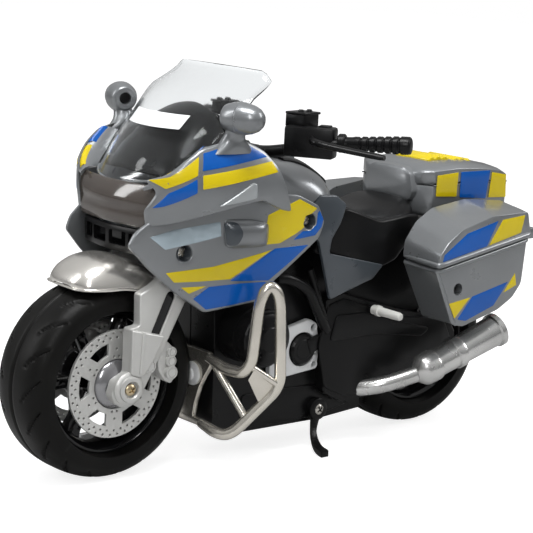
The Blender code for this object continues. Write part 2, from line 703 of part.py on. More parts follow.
def make_nose():
    """Headlamp glass, the intake under it, the lamp behind, and the nose frame."""
    glass = [(103.4, -72.0, -66.6, 21.6), (98.0, -73.6, -69.2, 20.2), (92.6, -73.8, -70.8, 18.4),
             (90.6, -73.2, -70.8, 17.8)]
    grid_shell("headlamp_glass", nose_rows(glass), "smoked_plastic", (0, -50, 96), 1.2)
    intake = [(89.6, -71.6, -68.6, 18.0), (88.6, -72.8, -70.0, 18.0), (81.6, -72.4, -69.8, 17.6),
              (80.2, -70.8, -67.6, 17.0)]
    grid_shell("nose_intake", nose_rows(intake), "black_plastic", (0, -50, 85), 1.6)
    block("headlamp_unit", (-13.4, -66.4, 84.0), (13.4, -60.4, 102.0), "silver_plastic", 1.0)


def screen_rows():
    """The windscreen from its lower lip up to the square-cut top edge."""
    levels = [(104.4, -71.4, -62.8, 20.6, 2.6), (109.5, -66.4, -56.8, 24.6, 1.6),
              (116.0, -60.4, -51.0, 27.0, 1.0), (124.0, -52.8, -42.6, 28.0, 0.6),
              (134.0, -39.8, -33.0, 27.2, 0.0), (144.9, -23.8, -22.6, 25.4, -0.6)]
    rows = []
    for z, y_middle, y_side, half, rise in levels:
        row = []
        for i in range(11):
            s = -1 + 2 * i / 10
            row.append((half * s, y_middle + (y_side - y_middle) * abs(s) ** 2.2,
                        z + rise * abs(s) ** 2))
        rows.append(row)
    return rows


def make_screen():
    grid_shell("windscreen", screen_rows(), "clear_plastic", (0, -20, 100), 1.0)
    hood = [[(19.0 * math.sin(a), y, z + h * math.cos(a)) for a in
             [math.radians(-90 + 22.5 * i) for i in range(9)]]
            for y, z, h in ((-55, 110.4, 5), (-49, 110.4, 11.5), (-41, 110.4, 19.5),
                            (-37, 110.4, 20))]
    hood = loft("dash_hood", hood, "gloss_black")
    base = block("base", (-22, -56.0, 107.4), (22, -36.1, 111.6), "gloss_black")
    join(hood, base)
    swept = (0.94, 0.342, 0.0)
    pod = turned("beacon_pod_left", [(10.2, 0), (9.6, 2.4), (8.2, 4.4), (5.8, 5.8), (2.0, 6.4),
                                     (-3.0, 6.2), (-4.4, 5.6), (-4.9, 4.6), (-4.9, 0)],
                 (34.1, -44.6, 129.4), "grey_plastic", axis=swept, steps=16)
    stalk = loft("stalk", [[(29.4, -48.5, 121.8), (33.6, -48.5, 121.8), (33.6, -40.5, 122.2),
                            (29.4, -40.5, 122.2)],
                           [(31.0, -46.6, 127), (36.0, -46.6, 127), (36.0, -42.6, 127),
                            (31.0, -42.6, 127)]], "grey_plastic")
    socket = turned("pod_socket", [(-2.2, 0), (-2.2, 2.2), (-12, 2.2), (-12, 0)],
                    (34.1, -44.6, 129.4), "steel", axis=swept, steps=12)
    pod = join(pod, stalk)
    both_sides(cut(pod, socket))


def tank_section(y, half, low, top, count=11, sweep=0.0):
    """One arched section of the tank cover, its skirts swept forward at the sides."""
    row = []
    for i in range(count):
        a = math.pi * i / (count - 1)
        lift = max(0.0, math.sin(a)) ** 0.55
        across = math.copysign(abs(math.cos(a)) ** 0.75, math.cos(a))
        row.append((half * across, y - sweep * across ** 2, low + (top - low) * lift))
    return row


def make_rider_area():
    tank = [tank_section(y, half, low, top, sweep=sweep) for y, half, low, top, sweep in
            ((-16, 19, 90.5, 108.0, 0), (-8, 22, 90.5, 110.2, 0.5), (2, 24, 90.0, 109.6, 2),
             (11, 24.5, 89.0, 106.8, 4.5), (18, 23, 88.0, 102.5, 7.5), (22, 20, 87.5, 98.0, 9))]
    grid_shell("tank_cover", tank, "grey_plastic", (0, 0, 85))
    trim = [tank_section(y, half, top + 0.5, top + 1.8, 7) for y, half, top in
            ((-1, 9.2, 110.0), (4, 8.8, 109.3), (10, 7.5, 107.2), (17, 5.5, 103.3))]
    loft("tank_trim", trim, "gloss_black")
    seat = []
    for y, half, low, top in ((23.5, 17, 77.0, 93.0), (27, 20, 75.0, 91.5), (36, 22.5, 72.4, 88.6),
                              (46, 22, 73.5, 88.6), (55, 18.5, 80.5, 92.0), (59.6, 16, 81.5, 93.4)):
        ring = [(half, y, low + 2), (half + 0.8, y, (low + top) / 2), (half - 1.5, y, top - 2.2),
                (half - 6, y, top), (-half + 6, y, top), (-half + 1.5, y, top - 2.2),
                (-half - 0.8, y, (low + top) / 2), (-half, y, low + 2), (-half + 4, y, low),
                (half - 4, y, low)]
        seat.append(ring)
    pad = loft("seat", seat, "black_plastic")
    spine_room = block("spine_room", (-15, 20, 60), (15, 64, 82.4), "steel")
    cut(pad, spine_room)
    panel = [(4.6, 84.0), (3.4, 82.0), (13.0, 59.0), (33.5, 65.5), (38.0, 70.6), (14.0, 77.6),
             (12.5, 83.0), (14.8, 87.2), (8.0, 87.2)]
    both_sides(side_shell("side_panel_left", panel, lambda y, z: 26.0 - 0.12 * (84 - z),
                          "grey_plastic", step=12.0))


# ---------------------------------------------------------------- luggage

def make_top_case():
    body = plate("top_case", [(67, 88.5), (64, 95), (66, 98.6), (107.5, 98.6), (108.5, 90.0),
                              (104.0, 86.6), (70, 86.0)], -20, 20, "grey_plastic", edge=1.0)
    room = block("case_room", (-17.5, 70, 89), (17.5, 104.5, 110), "steel")
    cut(body, room)
    rows = []
    for y, low, top, half in ((62.6, 99.2, 104.0, 15), (64.0, 99.2, 107.6, 18.0),
                              (76, 99.2, 109.4, 20.2), (92, 99.2, 108.2, 20.6),
                              (104, 99.2, 105.6, 20.2), (108.6, 99.2, 102.6, 18.5)):
        rows.append([(half, y, low), (half, y, (low + top) / 2 + 0.4), (half - 3.0, y, top - 0.9),
                     (half - 9.0, y, top), (-half + 9.0, y, top), (-half + 3.0, y, top - 0.9),
                     (-half, y, (low + top) / 2 + 0.4), (-half, y, low)])
    lid = loft("top_case_lid", rows, "grey_plastic")
    ridges = [block("ridge", (-9.5, y, 104.0), (9.5, y + 12.0, top), "yellow_plastic", 0.4)
              for y, top in ((73, 110.6), (87, 109.2))]
    join(lid, *ridges)


def pannier_ring(x, outline):
    return [(x, y, z) for y, z in outline]


CASE_INNER = [(44.5, 72.6), (57.0, 49.6), (61.0, 48.6), (80, 53.0), (88, 57.6), (93.5, 65.6),
              (97.0, 84.2)]
CASE_OUTER = [(43.0, 73.0), (55.0, 50.4), (58.5, 49.2), (77.7, 54.0), (85.6, 58.2),
              (90.2, 63.6), (91.6, 82.4)]
LID_INNER = [(44.5, 73.6), (44.8, 80.0), (50.0, 87.0), (58.0, 91.8), (76.0, 94.4),
             (97.5, 92.6), (97.4, 85.2)]
LID_OUTER = [(42.6, 74.0), (43.2, 77.6), (47.0, 82.4), (54.0, 87.0), (70.0, 91.2),
             (90.0, 91.8), (92.2, 83.4)]


def make_panniers():
    mid = 0.5 * (PANNIER_X0 + PANNIER_X1)
    blend = [((a + c) / 2, (b + d) / 2) for (a, b), (c, d) in zip(CASE_INNER, CASE_OUTER)]
    case = loft("pannier_left", [pannier_ring(PANNIER_X0, CASE_INNER), pannier_ring(mid, blend),
                                 pannier_ring(PANNIER_X1 - 1.0, CASE_OUTER)], "grey_plastic", 0.8)
    room = block("pannier_room", (PANNIER_X0 + 2.4, 60, 58), (PANNIER_X1 - 4, 84, 95), "steel")
    lock = disc("lock_hole", 1.7, PANNIER_X1 - 3.5, PANNIER_X1 + 5, 55.3, 64.5, "steel", steps=16)
    both_sides(cut(case, room, lock))
    blend = [((a + c) / 2, (b + d) / 2) for (a, b), (c, d) in zip(LID_INNER, LID_OUTER)]
    both_sides(loft("pannier_lid_left", [pannier_ring(PANNIER_X0, LID_INNER),
                                         pannier_ring(mid, blend),
                                         pannier_ring(PANNIER_X1, LID_OUTER)], "grey_plastic",
                    1.2))


# ---------------------------------------------------------------- exhaust, tail, stand

def make_exhaust():
    start, end = Vector((31.0, 58.0, 29.0)), Vector((35.5, 92.6, 42.6))
    axis = (end - start).normalized()
    length = (end - start).length
    profile = [(length, 0), (length, 4.6), (length, 5.6), (length - 2.4, 5.8),
               (length - 3.2, 5.2), (17.0, 5.2), (16.2, 5.8), (14.2, 5.8), (13.4, 5.3),
               (4.5, 5.3), (3.4, 6.1), (-1.5, 5.9), (-4.0, 4.4), (-4.0, 0)]
    silencer = turned("exhaust", profile, start, "silver_plastic", axis=axis, steps=20)
    bore = turned("silencer_bore", [(length + 2, 0), (length + 2, 4.2), (length - 12, 4.2),
                                    (length - 12, 0)], start, "steel", axis=axis, steps=16)
    tip = start - axis * 1.0
    path = [(21.8, 31.0, 21.2), (24.4, 37.0, 22.4), (27.6, 47.0, 25.0), tuple(tip)]
    pipe = tube("pipe", path, 2.6, "silver_plastic", sides=3)
    cut(join(silencer, pipe), bore)


def make_tail():
    plate("rear_fender", [(98.6, 75.2), (104.5, 75.0), (108.5, 58.0), (107.2, 57.6),
                          (101.0, 69.0)], -11, 11, "black_plastic", edge=0.4)
    block("tail_lamp", (-12, 100.2, 76.2), (12, 107.2, 84.8), "red_plastic", 0.8)


def make_stand():
    """Side stand on a shouldered screw, swung down with its foot on the ground."""
    y, z = STAND_PIVOT
    boss = disc("kickstand", 4.2, SPINE_X + GAP, SPINE_X + GAP + 3.2, y, z, "black_plastic",
                steps=20)
    leg = tube("leg", [(16.4, y, z), (16.8, 14.4, 10.0), (18.4, 12.9, 5.6), (20.6, 12.2, 3.0),
                       (24.0, 11.2, 1.5), (27.5, 10.4, 1.2)], 1.7, "black_plastic", sides=2)
    stand = join(boss, leg)
    ground = block("ground", (0, 0, -6), (40, 30, 0.0), "steel")
    well = disc("stand_well", SCREW_R + GAP, SPINE_X - 5, SPINE_X + 10, y, z, "steel", steps=16)
    cut(stand, ground, well)
    disc("stand_screw", SCREW_R, SPINE_X + GAP, SPINE_X + GAP + 2.4, y, z, "steel", steps=14)


make_wheels()
make_chassis()
make_friction_drive()
make_guards()
make_steering()
make_fairings()
make_nose()
make_screen()
make_rider_area()
make_top_case()
make_panniers()
make_exhaust()
make_tail()
make_stand()
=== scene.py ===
"""Looks of a moulded plastic toy police touring motorcycle, built on its CAD frame.

Tables are in millimetres in the row frame: the front faces -Y, the rider's left is +X
and Z is up. Meshes are made in metres.
"""
from math import ceil, copysign, cos, pi, radians, sin
import bmesh
import bpy
from mathutils import Matrix, Vector
from mathutils.geometry import delaunay_2d_cdt


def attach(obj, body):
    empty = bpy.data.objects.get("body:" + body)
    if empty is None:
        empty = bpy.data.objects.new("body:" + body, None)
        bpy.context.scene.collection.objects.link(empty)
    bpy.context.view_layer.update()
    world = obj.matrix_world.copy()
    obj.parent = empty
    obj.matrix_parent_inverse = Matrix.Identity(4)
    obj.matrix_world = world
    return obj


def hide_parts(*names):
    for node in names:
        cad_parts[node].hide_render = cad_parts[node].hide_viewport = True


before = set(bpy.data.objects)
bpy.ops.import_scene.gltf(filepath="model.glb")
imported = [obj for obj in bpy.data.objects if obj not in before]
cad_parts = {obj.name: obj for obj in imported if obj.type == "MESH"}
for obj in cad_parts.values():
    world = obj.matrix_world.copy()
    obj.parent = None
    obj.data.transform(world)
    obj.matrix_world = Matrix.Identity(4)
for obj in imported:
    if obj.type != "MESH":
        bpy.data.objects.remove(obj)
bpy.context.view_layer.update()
MM = 0.001
FRONT_Y, REAR_Y, AXLE_Z = -75, 75, 35
RAKE = radians(30.5)
STEER_AXIS = (0, sin(RAKE), cos(RAKE))
SCENE = bpy.context.scene

# -------------------- materials
MATERIALS, SLOTS = {}, {}


def put(name, data):
    """A new object in the scene."""
    obj = bpy.data.objects.new(name, data)
    SCENE.collection.objects.link(obj)
    return obj


def wire(tree, target, **inputs):
    """Set a node's inputs to values, or link them to sockets."""
    for name, value in inputs.items():
        socket = target.inputs[name.replace("_", " ")]
        if isinstance(value, bpy.types.NodeSocket):
            tree.links.new(value, socket)
        else:
            socket.default_value = value
    return target


def add(tree, kind, **inputs):
    return wire(tree, tree.nodes.new("ShaderNode" + kind), **inputs)


def ramp(tree, factor, places, colours):
    """A colour ramp between two places."""
    new = add(tree, "ValToRGB", Fac=factor)
    for k in (0, 1):
        new.color_ramp.elements[k].position = places[k]
        new.color_ramp.elements[k].color = (*colours[k], 1)
    return new.outputs["Color"]


def surface(name, slot, colour, rough, mottle=0.08, cloud=45, grain=0.12, grain_scale=1400, wear=0,
        wear_colour=(0.6, 0.6, 0.6), **sockets):
    """A moulded or painted surface: drifting colour, uneven gloss, fine grain, worn edges."""
    material = bpy.data.materials.new(name)
    material.use_nodes = True
    tree = material.node_tree
    shader = tree.nodes["Principled BSDF"]
    place = add(tree, "TexCoord").outputs["Object"]

    def noise(scale, detail):
        return add(tree, "TexNoise", Vector=place, Scale=scale, Detail=detail).outputs["Fac"]
    paint = ramp(tree, noise(cloud, 3), (0.3, 0.7), [[min(c * (1 + drift), 1) for c in colour]
        for drift in (-mottle, mottle)])
    if wear:
        edges = ramp(tree, add(tree, "NewGeometry").outputs["Pointiness"], (0.56, 0.66),
            [(0, 0, 0), (wear, wear, wear)])
        mix = tree.nodes.new("ShaderNodeMix")
        mix.data_type = "RGBA"
        wire(tree, mix, Factor=edges, A=paint, B=(*wear_colour, 1))
        paint = mix.outputs["Result"]
    gloss = add(tree, "MapRange", Value=noise(cloud * 3.1, 5), To_Min=max(rough - 0.07, 0.02),
        To_Max=rough + 0.07)
    wire(tree, shader, Base_Color=paint, Roughness=gloss.outputs["Result"], **sockets)
    if grain:
        bump = add(tree, "Bump", Strength=grain, Distance=0.0001, Height=noise(grain_scale, 2))
        wire(tree, shader, Normal=bump.outputs["Normal"])
    MATERIALS[name] = material
    SLOTS[name] = slot
    return tree


def make_materials():
    surface("body_grey", "grey_plastic", (0.205, 0.215, 0.224), 0.3, mottle=0.05, wear=0.15,
        wear_colour=(0.45, 0.46, 0.48), Metallic=0.55, Coat_Weight=0.45, Coat_Roughness=0.07)
    surface("pale_grey", "grey_plastic", (0.33, 0.35, 0.36), 0.26, wear=0.15, Metallic=0.3,
        Coat_Weight=0.4, Coat_Roughness=0.08)
    surface("dark_grey", "grey_plastic", (0.05, 0.06, 0.071), 0.3, wear=0.15, Metallic=0.2,
        Coat_Weight=0.3, Coat_Roughness=0.1)
    surface("silver_matt", "silver_plastic", (0.53, 0.53, 0.515), 0.4, wear=0.12,
        wear_colour=(0.7, 0.7, 0.7), Metallic=0.5, grain=0.2)
    surface("silver_satin", "silver_plastic", (0.72, 0.7, 0.66), 0.24, Metallic=0.9, grain=0.08,
        wear=0.1, wear_colour=(0.85, 0.84, 0.8))
    surface("silver_bar", "silver_plastic", (0.62, 0.59, 0.53), 0.24, mottle=0.14, Metallic=0.9,
        grain=0.1, wear=0.12, wear_colour=(0.85, 0.83, 0.78))
    surface("silver_pipe", "silver_plastic", (0.62, 0.62, 0.61), 0.26, mottle=0.14, Metallic=0.9,
        grain=0.12)
    surface("pearl_silver", "silver_plastic", (0.66, 0.67, 0.675), 0.36, Metallic=0.2,
        Coat_Weight=0.2)
    surface("black_satin", "black_plastic", (0.0045, 0.0045, 0.0048), 0.3, grain=0.25, wear=0.05,
        wear_colour=(0.05, 0.05, 0.05), Specular_IOR_Level=0.18)
    surface("black_gloss", "gloss_black", (0.004, 0.004, 0.0045), 0.14, grain=0.04,
        Coat_Weight=0.25, Coat_Roughness=0.05, Specular_IOR_Level=0.2)
    surface("tyre_rubber", "rubber", (0.0044, 0.0043, 0.004), 0.4, mottle=0.25, cloud=90,
        grain=0.35, grain_scale=2600, wear=0.08, wear_colour=(0.05, 0.05, 0.05),
        Specular_IOR_Level=0.12)
    surface("print_yellow", None, (0.6, 0.465, 0.004), 0.24, mottle=0.05, grain=0.05,
        Coat_Weight=0.3, Coat_Roughness=0.06, Specular_IOR_Level=0.3)
    surface("print_blue", None, (0.0008, 0.082, 0.37), 0.24, mottle=0.07, grain=0.05,
        Coat_Weight=0.3, Coat_Roughness=0.06, Specular_IOR_Level=0.25)
    surface("print_white", None, (0.78, 0.79, 0.8), 0.3, mottle=0.03, grain=0.06)
    # print_silver is not a print but a painted reflection: the bluish gloss band along the side
    # fairing, laid on as a metallic film
    surface("print_silver", None, (0.36, 0.44, 0.49), 0.18, mottle=0.12, cloud=120, grain=0.03,
        Metallic=0.4, Coat_Weight=0.5, Coat_Roughness=0.05)
    surface("clear", "clear_plastic", (0.8, 0.82, 0.83), 0.03, mottle=0.01, grain=0.02,
        Transmission_Weight=1, IOR=1.25)
    surface("clear_lip", "clear_plastic", (0.3, 0.32, 0.33), 0.12, mottle=0.05, grain=0.03,
        Transmission_Weight=0.55, IOR=1.45)
    surface("smoked", "smoked_plastic", (0.105, 0.09, 0.08), 0.09, mottle=0.08, grain=0.02,
        Transmission_Weight=0.42, IOR=1.45, Coat_Weight=0.4, Coat_Roughness=0.04)
    surface("lamp_red", "red_plastic", (0.42, 0.012, 0.01), 0.12, grain=0.03, Coat_Weight=0.4)
    surface("mirror", "silver_plastic", (0.8, 0.81, 0.82), 0.1, Metallic=1, grain=0.03)
    surface("bright_steel", "steel", (0.56, 0.54, 0.5), 0.26, mottle=0.15, Metallic=1, grain=0.15,
        grain_scale=3000)
    surface("brass_plate", "brass", (0.56, 0.46, 0.3), 0.3, mottle=0.2, cloud=300, Metallic=1)
    surface("hub_grey", "silver_plastic", (0.27, 0.27, 0.28), 0.2, Metallic=0.7, Coat_Weight=0.3,
        grain=0.05)
    surface("gear_white", "white_plastic", (0.66, 0.66, 0.63), 0.4, grain=0.15)

# -------------------- mesh helpers


def link(name, bm, sharp=35):
    """A smooth-shaded object from a bmesh, its normals turned outwards."""
    mesh = bpy.data.meshes.new(name)
    bmesh.ops.recalc_face_normals(bm, faces=bm.faces)
    bm.to_mesh(mesh)
    bm.free()
    mesh.shade_smooth()
    mesh.set_sharp_from_angle(angle=radians(sharp))
    return put(name, mesh)


def mesh_of(name, verts, faces, sharp=35):
    """A mesh object from points in millimetres, with doubled points joined."""
    bm = bmesh.new()
    made = [bm.verts.new(Vector(v) * MM) for v in verts]
    for face in faces:
        bm.faces.new([made[i] for i in face])
    bmesh.ops.remove_doubles(bm, verts=bm.verts, dist=1e-06)
    return link(name, bm, sharp)


def bake(obj):
    """Apply an object's modifiers, curve settings and transform."""
    bpy.context.view_layer.update()
    evaluated = obj.evaluated_get(bpy.context.evaluated_depsgraph_get())
    mesh = bpy.data.meshes.new_from_object(evaluated)
    mesh.transform(obj.matrix_world)
    name = obj.name
    bpy.data.objects.remove(obj, do_unlink=True)
    bm = bmesh.new()
    bm.from_mesh(mesh)
    bmesh.ops.remove_doubles(bm, verts=bm.verts, dist=1e-06)
    return link(name, bm)


def bevel(obj, width, segments=2, angle=40):
    modifier = obj.modifiers.new("edge", "BEVEL")
    modifier.width = width * MM
    modifier.segments = segments
    modifier.limit_method = "ANGLE"
    modifier.angle_limit = radians(angle)
    return bake(obj)


def boolean(obj, operation, *others):
    for other in others:
        modifier = obj.modifiers.new("bool", "BOOLEAN")
        modifier.operation = operation
        modifier.object = other
    result = bake(obj)
    for other in others:
        bpy.data.objects.remove(other, do_unlink=True)
    return result


def merged(name, *objs):
    """Several meshes as one object, kept as separate shells."""
    bm = bmesh.new()
    for obj in objs:
        bm.from_mesh(obj.data)
        bpy.data.objects.remove(obj, do_unlink=True)
    return link(name, bm)


def rounded(points, radius, closed=True, steps=5):
    """Corners turned into short curves that start radius away from each."""
    points = [Vector(p) for p in points]
    count = len(points)
    out = []
    for i, p in enumerate(points):
        if not closed and i in (0, count - 1):
            out.append(p)
            continue
        before, after = points[i - 1] - p, points[(i + 1) % count] - p
        start = p + before.normalized() * min(radius, 0.47 * before.length)
        end = p + after.normalized() * min(radius, 0.47 * after.length)
        for k in range(steps + 1):
            t = k / steps
            out.append(start * (1 - t) ** 2 + p * (2 * t * (1 - t)) + end * (t * t))
    return out


def catmull(a, b, c, d, t):
    """Point t of the way from b to c on a smooth curve through all four."""
    return 0.5 * (2 * b + (c - a) * t + (2 * a - 5 * b + 4 * c - d) * t * t
        + (3 * b - a - 3 * c + d) * t ** 3)


def spline(rows, per):
    """Catmull-Rom through rows of equal length, with per steps between two rows."""
    rows = [[Vector(p) for p in row] for row in rows]
    out = []
    for i in range(len(rows) - 1):
        r0, r1, r2 = rows[max(i - 1, 0)], rows[i], rows[i + 1]
        r3 = rows[min(i + 2, len(rows) - 1)]
        for k in range(per):
            t = k / per
            out.append([catmull(*four, t) for four in zip(r0, r1, r2, r3)])
    return out + [rows[-1]]


def curve_through(points, per):
    return [row[0] for row in spline([[p] for p in points], per)]


def turned(name, profile, centre, axis=(1, 0, 0), steps=64, loop=False):
    """Turn a profile of (along, radius) points about an axis through a centre."""
    turn = Vector(axis).to_track_quat("Z", "Y").to_matrix()
    centre = Vector(centre)
    verts, faces, count = [], [], len(profile)
    for j in range(steps):
        a = 2 * pi * j / steps
        for along, radius in profile:
            verts.append(centre + turn @ Vector((radius * cos(a), radius * sin(a), along)))
    for j in range(steps):
        k = (j + 1) % steps
        for i in range(count if loop else count - 1):
            i2 = (i + 1) % count
            quad = [j * count + i, j * count + i2, k * count + i2, k * count + i]
            if profile[i][1] < 1e-06:
                quad.pop(3)
            elif profile[i2][1] < 1e-06:
                quad.pop(2)
            faces.append(quad)
    return mesh_of(name, verts, faces, 30)


def tube(name, points, radius, fillet=0, sides=5):
    """A round bar along points, with rounded bends and domed ends."""
    path = rounded(points, fillet, False, 8) if fillet else [Vector(p) for p in points]
    curve = bpy.data.curves.new(name, "CURVE")
    curve.dimensions = "3D"
    line = curve.splines.new("POLY")
    line.points.add(len(path) - 1)
    for slot, point in zip(line.points, path):
        slot.co = (*point * MM, 1)
    line.points[0].radius = line.points[-1].radius = 0.8
    curve.bevel_depth = radius * MM
    curve.bevel_resolution = sides
    curve.use_fill_caps = True
    return bake(put(name, curve))


def loft(name, rings, edge=0, per=0):
    """A closed body through rings of matching points, capped at both ends."""
    if per:
        rings = spline(rings, per)
    count = len(rings[0])
    verts = [p for ring in rings for p in ring]
    faces = []
    for r in range(len(rings) - 1):
        for i in range(count):
            j = (i + 1) % count
            faces.append((r * count + i, r * count + j, (r + 1) * count + j, (r + 1) * count + i))
    faces.append(range(count))
    faces.append(range((len(rings) - 1) * count, len(rings) * count))
    obj = mesh_of(name, verts, faces)
    return bevel(obj, edge) if edge else obj


def block(name, low, high, edge):
    x0, y0, z0 = low
    x1, y1, z1 = high
    rings = [[(x, y0, z0), (x, y1, z0), (x, y1, z1), (x, y0, z1)] for x in (x0, x1)]
    return loft(name, rings, edge)


def placed(obj, place, degrees, axis):
    """Turn an object about an axis through the origin, then move it to a place."""
    turn = Matrix.Rotation(radians(degrees), 4, axis)
    obj.matrix_world = Matrix.Translation(Vector(place) * MM) @ turn
    return bake(obj)


def turned_block(name, low, high, place, degrees, edge):
    return placed(block(name, low, high, edge), place, degrees, "Z")


def shell(name, rows, inside, thickness, edge, per, across):
    """A moulded sheet through rows of points, thickened towards a point inside."""
    rows = spline(rows, per)
    if across > 1:
        rows = list(zip(*spline(list(zip(*rows)), across)))
    width = len(rows[0])
    bm = bmesh.new()
    verts = [[bm.verts.new(Vector(p) * MM) for p in row] for row in rows]
    for upper, lower in zip(verts, verts[1:]):
        for i in range(width - 1):
            bm.faces.new((upper[i], lower[i], lower[i + 1], upper[i + 1]))
    bm.normal_update()
    inside = Vector(inside) * MM
    if sum(f.normal.dot(f.calc_center_median() - inside) * f.calc_area() for f in bm.faces) < 0:
        bmesh.ops.reverse_faces(bm, faces=bm.faces)
    mesh = bpy.data.meshes.new(name)
    bm.to_mesh(mesh)
    bm.free()
    obj = put(name, mesh)
    wall = obj.modifiers.new("wall", "SOLIDIFY")
    wall.thickness = thickness * MM
    wall.offset = -1
    obj = bake(obj)
    return bevel(obj, edge, 2, 55) if edge else obj


def area_of(loop):
    return sum(a[0] * b[1] - b[0] * a[1] for a, b in zip(loop, loop[1:] + loop[:1])) / 2


def inside_loop(p, loop):
    hit = False
    for a, b in zip(loop, loop[1:] + loop[:1]):
        if (a[1] > p[1]) != (b[1] > p[1]):
            if p[0] < a[0] + (p[1] - a[1]) * (b[0] - a[0]) / (b[1] - a[1]):
                hit = not hit
    return hit


def spaced(loop, step):
    """A closed loop with points added so that no side is longer than step."""
    out = []
    for a, b in zip(loop, loop[1:] + loop[:1]):
        parts = max(1, ceil((b - a).length / step))
        out += [a.lerp(b, k / parts) for k in range(parts)]
    return [p for i, p in enumerate(out) if (p - out[i - 1]).length > 0.001]


def inset(loop, distance):
    """Move a loop to its left by a distance: inwards for a counter-clockwise one."""
    out = []
    for i, p in enumerate(loop):
        a = (p - loop[i - 1]).normalized()
        b = (loop[(i + 1) % len(loop)] - p).normalized()
        left = Vector((-(a.y + b.y), a.x + b.x))
        left = left.normalized() if left.length > 1e-06 else Vector((-a.y, a.x))
        out.append(p + left * distance)
    return out


def filled(loops, step):
    """Even triangles inside the first loop and outside the others."""
    points, edges = [], []
    for loop in loops:
        base = len(points)
        points += loop
        edges += [(base + i, base + (i + 1) % len(loop)) for i in range(len(loop))]
    rim = len(points)
    outer = loops[0]
    low = [min(p[k] for p in outer) for k in (0, 1)]
    high = [max(p[k] for p in outer) for k in (0, 1)]
    row = 0
    z = low[1] + step * 0.5
    while z < high[1]:
        y = low[0] + step * (0.5 if row % 2 else 0)
        while y < high[0]:
            p = Vector((y, z))
            clear = all((p - q).length > 0.6 * step for q in points[:rim])
            if clear and inside_loop(p, outer) and not any(inside_loop(p, h) for h in loops[1:]):
                points.append(p)
            y += step
        z += step * 0.87
        row += 1
    verts, _, faces, origin, _, _ = delaunay_2d_cdt(points, edges, [], 0, 1e-05)
    kept = []
    for face in faces:
        middle = sum((verts[i] for i in face), Vector((0, 0))) / len(face)
        if inside_loop(middle, outer) and not any(inside_loop(middle, h) for h in loops[1:]):
            kept.append(tuple(face))
    where = {}
    for i, sources in enumerate(origin):
        for source in sources:
            where[source] = i
    return (verts, kept, [where[i] for i in range(rim)])


def panel(name, outline, depth, thick, edge, radius, step=2.4, holes=()):
    """A moulded panel with rounded edges: the sheet x = depth(y, z) inside an outline."""
    loops = []
    for k, loop in enumerate((outline, *holes)):
        loop = rounded(loop, radius) if k == 0 or len(loop) < 9 else [Vector(p) for p in loop]
        if (area_of(loop) > 0) != (k == 0):
            loop.reverse()
        loops.append(spaced(loop, step * 0.7))
    tops = [inset(loop, edge) for loop in loops]
    flat, faces, rim = filled(tops, step)
    count = len(flat)
    verts = [(depth(p.x, p.y), p.x, p.y) for p in flat]
    verts += [(x - thick, y, z) for x, y, z in verts]
    sides = [tuple(f) for f in faces] + [tuple(i + count for i in reversed(f)) for f in faces]
    base = 0
    for loop in loops:
        size = len(loop)
        last = [rim[base + i] for i in range(size)]
        for angle in (30, 60, 90):
            a = radians(angle)
            ring = inset(loop, edge * (1 - sin(a)))
            drop = edge * (1 - cos(a))
            new = [len(verts) + i for i in range(size)]
            verts += [(depth(p.x, p.y) - drop, p.x, p.y) for p in ring]
            sides += [(last[i], last[(i + 1) % size], new[(i + 1) % size], new[i])
                for i in range(size)]
            last = new
        new = [len(verts) + i for i in range(size)]
        verts += [(depth(p.x, p.y) - thick + 0.4 * edge, p.x, p.y) for p in loop]
        bottom = [count + rim[base + i] for i in range(size)]
        for one, two in ((last, new), (new, bottom)):
            sides += [(one[i], one[(i + 1) % size], two[(i + 1) % size], two[i])
                for i in range(size)]
        base += size
    return mesh_of(name, verts, sides)


def plate(name, outline, x0, x1, edge, radius=0.8, holes=()):
    """A flat piece from x0 to x1, rounded on its outer face (x1)."""
    return panel(name, outline, lambda y, z: x1, x1 - x0, edge, radius, 60, holes)


def film(name, outline, depth):
    """A thin patch that follows the sheet under it: prints, and the painted reflection band on the
    side fairing.
    """
    return panel(name, outline, lambda y, z: depth(y, z) + 0.1, 0.16, 0.04, 0.35, 1.8)


def polar(y, z, radius, degrees):
    """The point at a radius and an angle from (y, z)."""
    a = radians(degrees)
    return (y + radius * cos(a), z + radius * sin(a))


def ring_points(y, z, radius, count):
    return [polar(y, z, radius, 360 * i / count) for i in range(count)]


def raked(along, out):
    """Side-view point from distances up the fork axis and forward of it."""
    return (FRONT_Y + along * sin(RAKE) - out * cos(RAKE), AXLE_Z + along * cos(RAKE)
        + out * sin(RAKE))


def mirrored(obj):
    mesh = obj.data.copy()
    mesh.transform(Matrix.Diagonal((-1, 1, 1, 1)))
    mesh.flip_normals()
    return put(obj.name.replace("_left", "_right"), mesh)


def mirror_ring(half):
    """A closed outline from its right half."""
    return half + [(-x, z) for x, z in reversed(half) if x]


def show(obj, finish, node="", body="frame", slot=None):
    """Give a piece its material and body, and hide the CAD node it stands for; the slot is worked
    out but not stored.
    """
    obj.data.materials.clear()
    obj.data.materials.append(MATERIALS[finish])
    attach(obj, body)
    if node:
        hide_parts(node)
    slot = SLOTS[finish] if slot is None else slot


def both(obj, finish, node="", body="frame", slot=None):
    """Show a left-hand piece and its mirror image."""
    copy = mirrored(obj)
    show(obj, finish, node, body, slot)
    show(copy, finish, node.replace("_left", "_right"), body, slot)


def screw(name, radius, x, y, z, node, finish="bright_steel", body="frame"):
    """A domed screw head with a cross recess, facing +X."""
    dome = [(x + 0.9, 0), (x + 0.85, radius * 0.4), (x + 0.55, radius * 0.8), (x + 0.1, radius),
        (x - 0.7, radius), (x - 0.7, 0)]
    slots = []
    for k in range(2):
        arm = block("cross", (x - 0.1, -radius * 0.62, -radius * 0.15),
            (x + 2, radius * 0.62, radius * 0.15), 0)
        slots.append(placed(arm, (0, y, z), 35 + 90 * k, "X"))
    head = boolean(turned(name, dome, (0, y, z), steps=40), "DIFFERENCE", *slots)
    (both if name.endswith("_left") else show)(head, finish, node, body)

# -------------------- wheels


